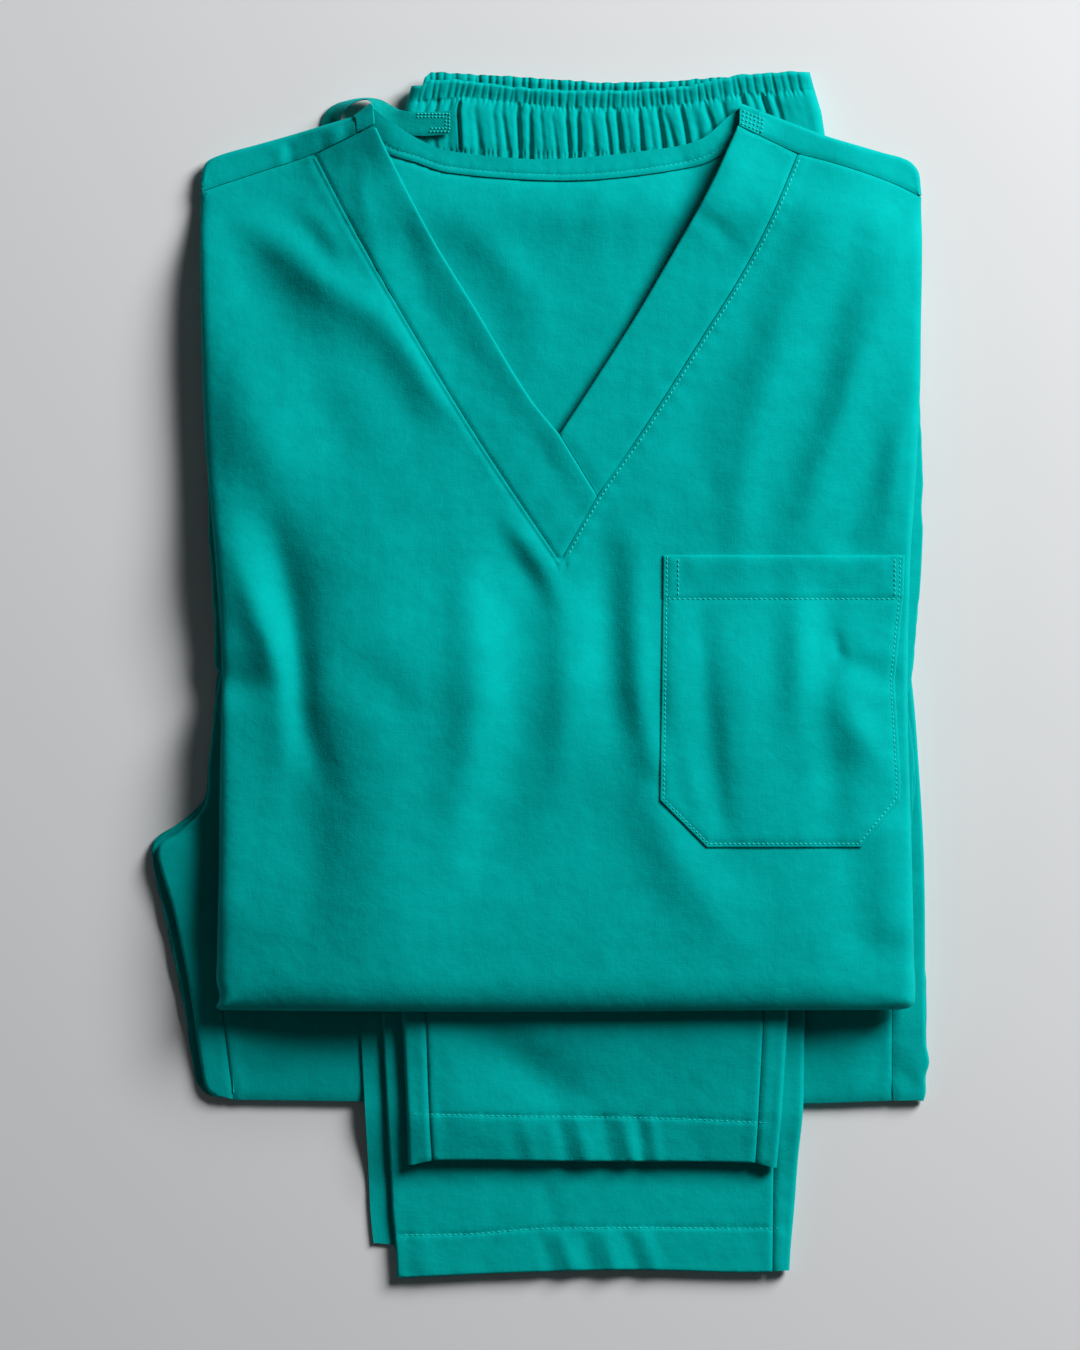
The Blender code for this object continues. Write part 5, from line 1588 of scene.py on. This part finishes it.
def end_fold(x, y, z, side):
    """Points from the casing's face down round an end fold. The side is 1 at the left, -1 at the right."""
    points, turns = [], 8
    for k in range(1, turns + 1):
        turn = math.pi * k / turns
        fall = (z - WAIST_GROUND) / 2.0 * (1.0 - math.cos(turn))
        points.append((x + side * WAIST_HALF * (1.0 - math.sin(turn)), y, z - fall))
    return points


def make_waistband_front():
    """Casing over elastic: fluted across, with a header above its seam and folds at its ends."""
    ruffle = gathers(-75.0, 156.0, 4.0, 1.2, 71)
    share = np.linspace(0.0, 1.0, 560)
    left_end, right_end = (reading(299.0, table) for table in (WAIST_LEFT, WAIST_RIGHT))
    x = left_end + (right_end - left_end) * share
    base, seam, top = (reading(x, table) for table in (WAIST_BASE, WAIST_STITCH, WAIST_TOP))
    top = top + 0.4 * ripple(x, 0.0 * x, 9.0, 72)
    rows = []
    for v in np.concatenate([(-0.28, -0.14), np.linspace(0.0, 1.0, 24)[:-1], np.linspace(1.0, 2.0, 15)]):
        y = base + (seam - base) * min(v, 1.0) + (top - seam) * max(v - 1.0, 0.0)
        z = casing_height(x, v, ruffle) + 0.12 * ripple(x, y, 6.0, 75)
        left, right = reading(y[0], WAIST_LEFT), reading(y[-1], WAIST_RIGHT)
        inner = left + WAIST_HALF + (right - left - 2.0 * WAIST_HALF) * share
        rows.append(end_fold(left, y[0], z[0], 1.0)[::-1] + list(zip(inner, y, z))
                    + end_fold(right, y[-1], z[-1], -1.0))
    shell = Shell()
    shell.rows(np.array(rows))
    shell.object("waistband_front", CLOTH, WAIST_WALL)


def make_waistband_back():
    """The back of the waistband. Its header shows above the front's."""
    ruffle = gathers(-66.0, 118.0, 4.0, 1.5, 73)
    x = np.linspace(WAIST_BACK[0][0], WAIST_BACK[-1][0], 440)
    top = reading(x, WAIST_BACK) + 0.4 * ripple(x, 0.0 * x, 8.0, 74)
    hidden, start = 277.0, 303.0  # y of the lower edge, and of where the gathers start
    rows = [np.column_stack([x, 0.0 * x + hidden, 0.0 * x + WAIST_BACK_CREST])]
    for share in np.linspace(0.0, 1.0, 14):
        rim = 1.0 * smooth((share - 0.84) / 0.16)
        z = WAIST_BACK_CREST - 2.4 + 3.8 * share - rim + flutes(x, share, ruffle) * smooth(share * 3.0)
        rows.append(np.column_stack([x, start + (top - start) * share, z]))
    shell = Shell()
    shell.rows(np.array(rows))
    shell.object("waistband_back", CLOTH, WAIST_BACK_WALL)


def make_tape(thread):
    """The drawstring: a flat woven tape that loops on its edge and ends lying on the waistband."""
    route = curve(TAPE, 1.0)
    path = route[:, :3]
    along = np.gradient(path, axis=0)
    along /= np.linalg.norm(along, axis=1)[:, None]
    # Cross-section: across in half widths, and up in thicknesses
    profile = [(a, 0.5 * (1.0 - abs(a) ** 6)) for a in np.linspace(-1.0, 1.0, 9)]
    outline = profile + [(a, -b) for a, b in profile[::-1]]
    rows = []
    for point, heading, lean in zip(path, along, np.radians(route[:, 3])):
        level = np.array([heading[1], -heading[0], 0.0])
        level /= np.linalg.norm(level)
        raised = np.cross(level, heading)
        across = level * math.cos(lean) + raised * math.sin(lean)
        face = np.cross(across, heading)
        rows.append([point + across * a * TAPE_WIDTH / 2 + face * b * TAPE_THICK for a, b in outline])
    shell = Shell()
    grid = np.array(rows)
    shell.rows(np.concatenate([grid, grid[:, :1]], axis=1))
    end = tuple(range(len(outline)))
    shell.add(grid[0], [end])
    shell.add(grid[-1], [end[::-1]])
    made = shell.object("drawstring", TWILL, sharp=60.0)
    shape = bmesh.new()
    shape.from_mesh(made.data)
    bmesh.ops.recalc_face_normals(shape, faces=shape.faces)
    shape.to_mesh(made.data)
    shape.free()

    tack = flat_at(TAPE[-1][2] + TAPE_THICK / 2)
    for inset in (0.0, 1.7):
        low, high, end = 288.4 + inset, 297.8 - inset, -48.3 - inset
        box = [(-66.0, high), (end, high), (end, low), (-60.0, low)]
        thread.run(straight(box), tack, pitch=1.9, length=1.3, wide=0.75, lift=0.25)
    return made, path


def make_trousers():
    """All of the trousers. Returns the drawstring and the points of its middle line."""
    thread = Thread()
    make_thighs()
    make_leg("lower_leg", LOWER_LEG, LOWER_HEM, LOWER_HEM_STITCH, lower_leg_base, False, thread)
    make_leg("upper_leg", UPPER_LEG, UPPER_HEM, UPPER_HEM_STITCH, upper_leg_base, True, thread)
    make_waistband_front()
    make_waistband_back()
    tape, path = make_tape(thread)
    thread.object("trouser_stitching", THREAD)
    return tape, path


# Scene, in metres: what stands round the pile, and what each piece is

PILE_MIDDLE = 0.015  # height of the plane that the view is measured at
VIEW_HEIGHT = 0.7155  # what the photo's longer side shows there: 1350 pixels of 0.53 mm
SENSOR = 36.0
LENS = 250.0  # long, so that the view is as flat as the photo's


def stage():
    """Pale floor, key light from the upper right, weak fill, and the camera straight above."""
    floor_mesh = bpy.data.meshes.new("floor")
    floor_mesh.from_pydata([(-4, -4, 0), (4, -4, 0), (4, 4, 0), (-4, 4, 0)], [], [(0, 1, 2, 3)])
    floor = bpy.data.objects.new("floor", floor_mesh)
    floor.location.z = -0.0005  # clear of the undersides
    bpy.context.scene.collection.objects.link(floor)
    paint = bpy.data.materials.new("floor_paint")
    paint.use_nodes = True
    shader = paint.node_tree.nodes["Principled BSDF"]
    shader.inputs["Base Color"].default_value = (0.72, 0.73, 0.74, 1.0)
    shader.inputs["Roughness"].default_value = 0.9
    floor_mesh.materials.append(paint)

    def area(name, place, size, power):
        """A square light that points at the pile. Its size is in metres, and its power in watts."""
        light = bpy.data.lights.new(name, "AREA")
        light.energy = power
        light.size = size
        made = bpy.data.objects.new(name, light)
        made.location = place
        made.rotation_euler = (-made.location).to_track_quat("-Z", "Y").to_euler()
        bpy.context.scene.collection.objects.link(made)

    area("key", (1.92, 1.68, 1.53), 1.35, 141.0)
    area("fill", (-1.6, -0.6, 2.4), 2.0, 1.2)
    world = bpy.data.worlds.new("studio")
    world.use_nodes = True
    world.node_tree.nodes["Background"].inputs["Color"].default_value = (0.9, 0.95, 1.0, 1.0)
    world.node_tree.nodes["Background"].inputs["Strength"].default_value = 0.032
    bpy.context.scene.world = world

    view = bpy.data.cameras.new("camera")
    view.lens = LENS
    view.sensor_width = SENSOR
    view.clip_end = 50.0
    camera = bpy.data.objects.new("camera", view)
    camera.location = (-0.0002, 0.0003, PILE_MIDDLE + VIEW_HEIGHT / SENSOR * LENS)
    bpy.context.scene.collection.objects.link(camera)
    bpy.context.scene.camera = camera
    bpy.context.scene.view_settings.view_transform = "Standard"


# Each piece laid flat, without what its cut has out of sight: width and length in metres, area in square
# metres, how it is held, and what it rests on. Widths and lengths are those of the shells made above,
# with a little for what goes round the folds. Areas are those of the shells, with more for the gathers.
SHEETS = {
    "trousers_folded_layers": (0.413, 0.504, 0.172, "folded", []),
    "trousers_back": (0.425, 0.510, 0.180, "folded", ["trousers_folded_layers"]),
    "trousers_front": (0.357, 0.505, 0.155, "folded", ["trousers_back"]),
    "lower_leg_back": (0.260, 0.303, 0.075, "folded", ["trousers_front"]),
    "lower_leg_front": (0.230, 0.303, 0.066, "folded", ["lower_leg_back"]),
    "upper_leg_back": (0.240, 0.245, 0.057, "folded", ["lower_leg_front"]),
    "upper_leg_front": (0.196, 0.245, 0.045, "folded", ["upper_leg_back"]),
    "waistband_back": (0.220, 0.045, 0.009, "gathered", ["trousers_back"]),
    "waistband_front": (0.310, 0.045, 0.013, "gathered", ["waistband_back"]),
    "sleeve_left": (0.076, 0.222, 0.016, "folded", ["trousers_front"]),
    "sleeve_right": (0.080, 0.223, 0.017, "folded", ["trousers_front"]),
    "top_folded_layers": (0.370, 0.391, 0.108, "folded", ["upper_leg_front", "trousers_front"]),
    "top_back": (0.400, 0.480, 0.168, "folded", ["top_folded_layers", "waistband_front"]),
    "top_front": (0.410, 0.462, 0.157, "folded", ["top_back"]),
    "back_neck_band": (0.240, 0.018, 0.0036, "laid", ["waistband_front"]),
    "neck_band_left": (0.276, 0.035, 0.0089, "laid", ["top_back"]),
    "neck_band_right": (0.232, 0.035, 0.0077, "laid", ["top_back"]),
    "chest_pocket": (0.130, 0.155, 0.0196, "laid", ["top_front"]),
}


def declare(tape, path):
    """Parents every piece of cloth, the drawstring and the stitching to the root body, and hides the CAD
    parts that the cloth and the drawstring stand in for.
    """
    for node, (width, length, area, held, below) in SHEETS.items():
        piece = bpy.data.objects["cloth_" + node]
        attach(piece, "root")
        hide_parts(node)
    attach(tape, "root")
    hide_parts("drawstring")
    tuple(path[0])
    for name in ("top_stitching", "trouser_stitching"):
        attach(bpy.data.objects[name], "root")


stage()
drawstring, drawstring_path = make_trousers()
make_top()
declare(drawstring, [tuple(point) for point in drawstring_path * MM])
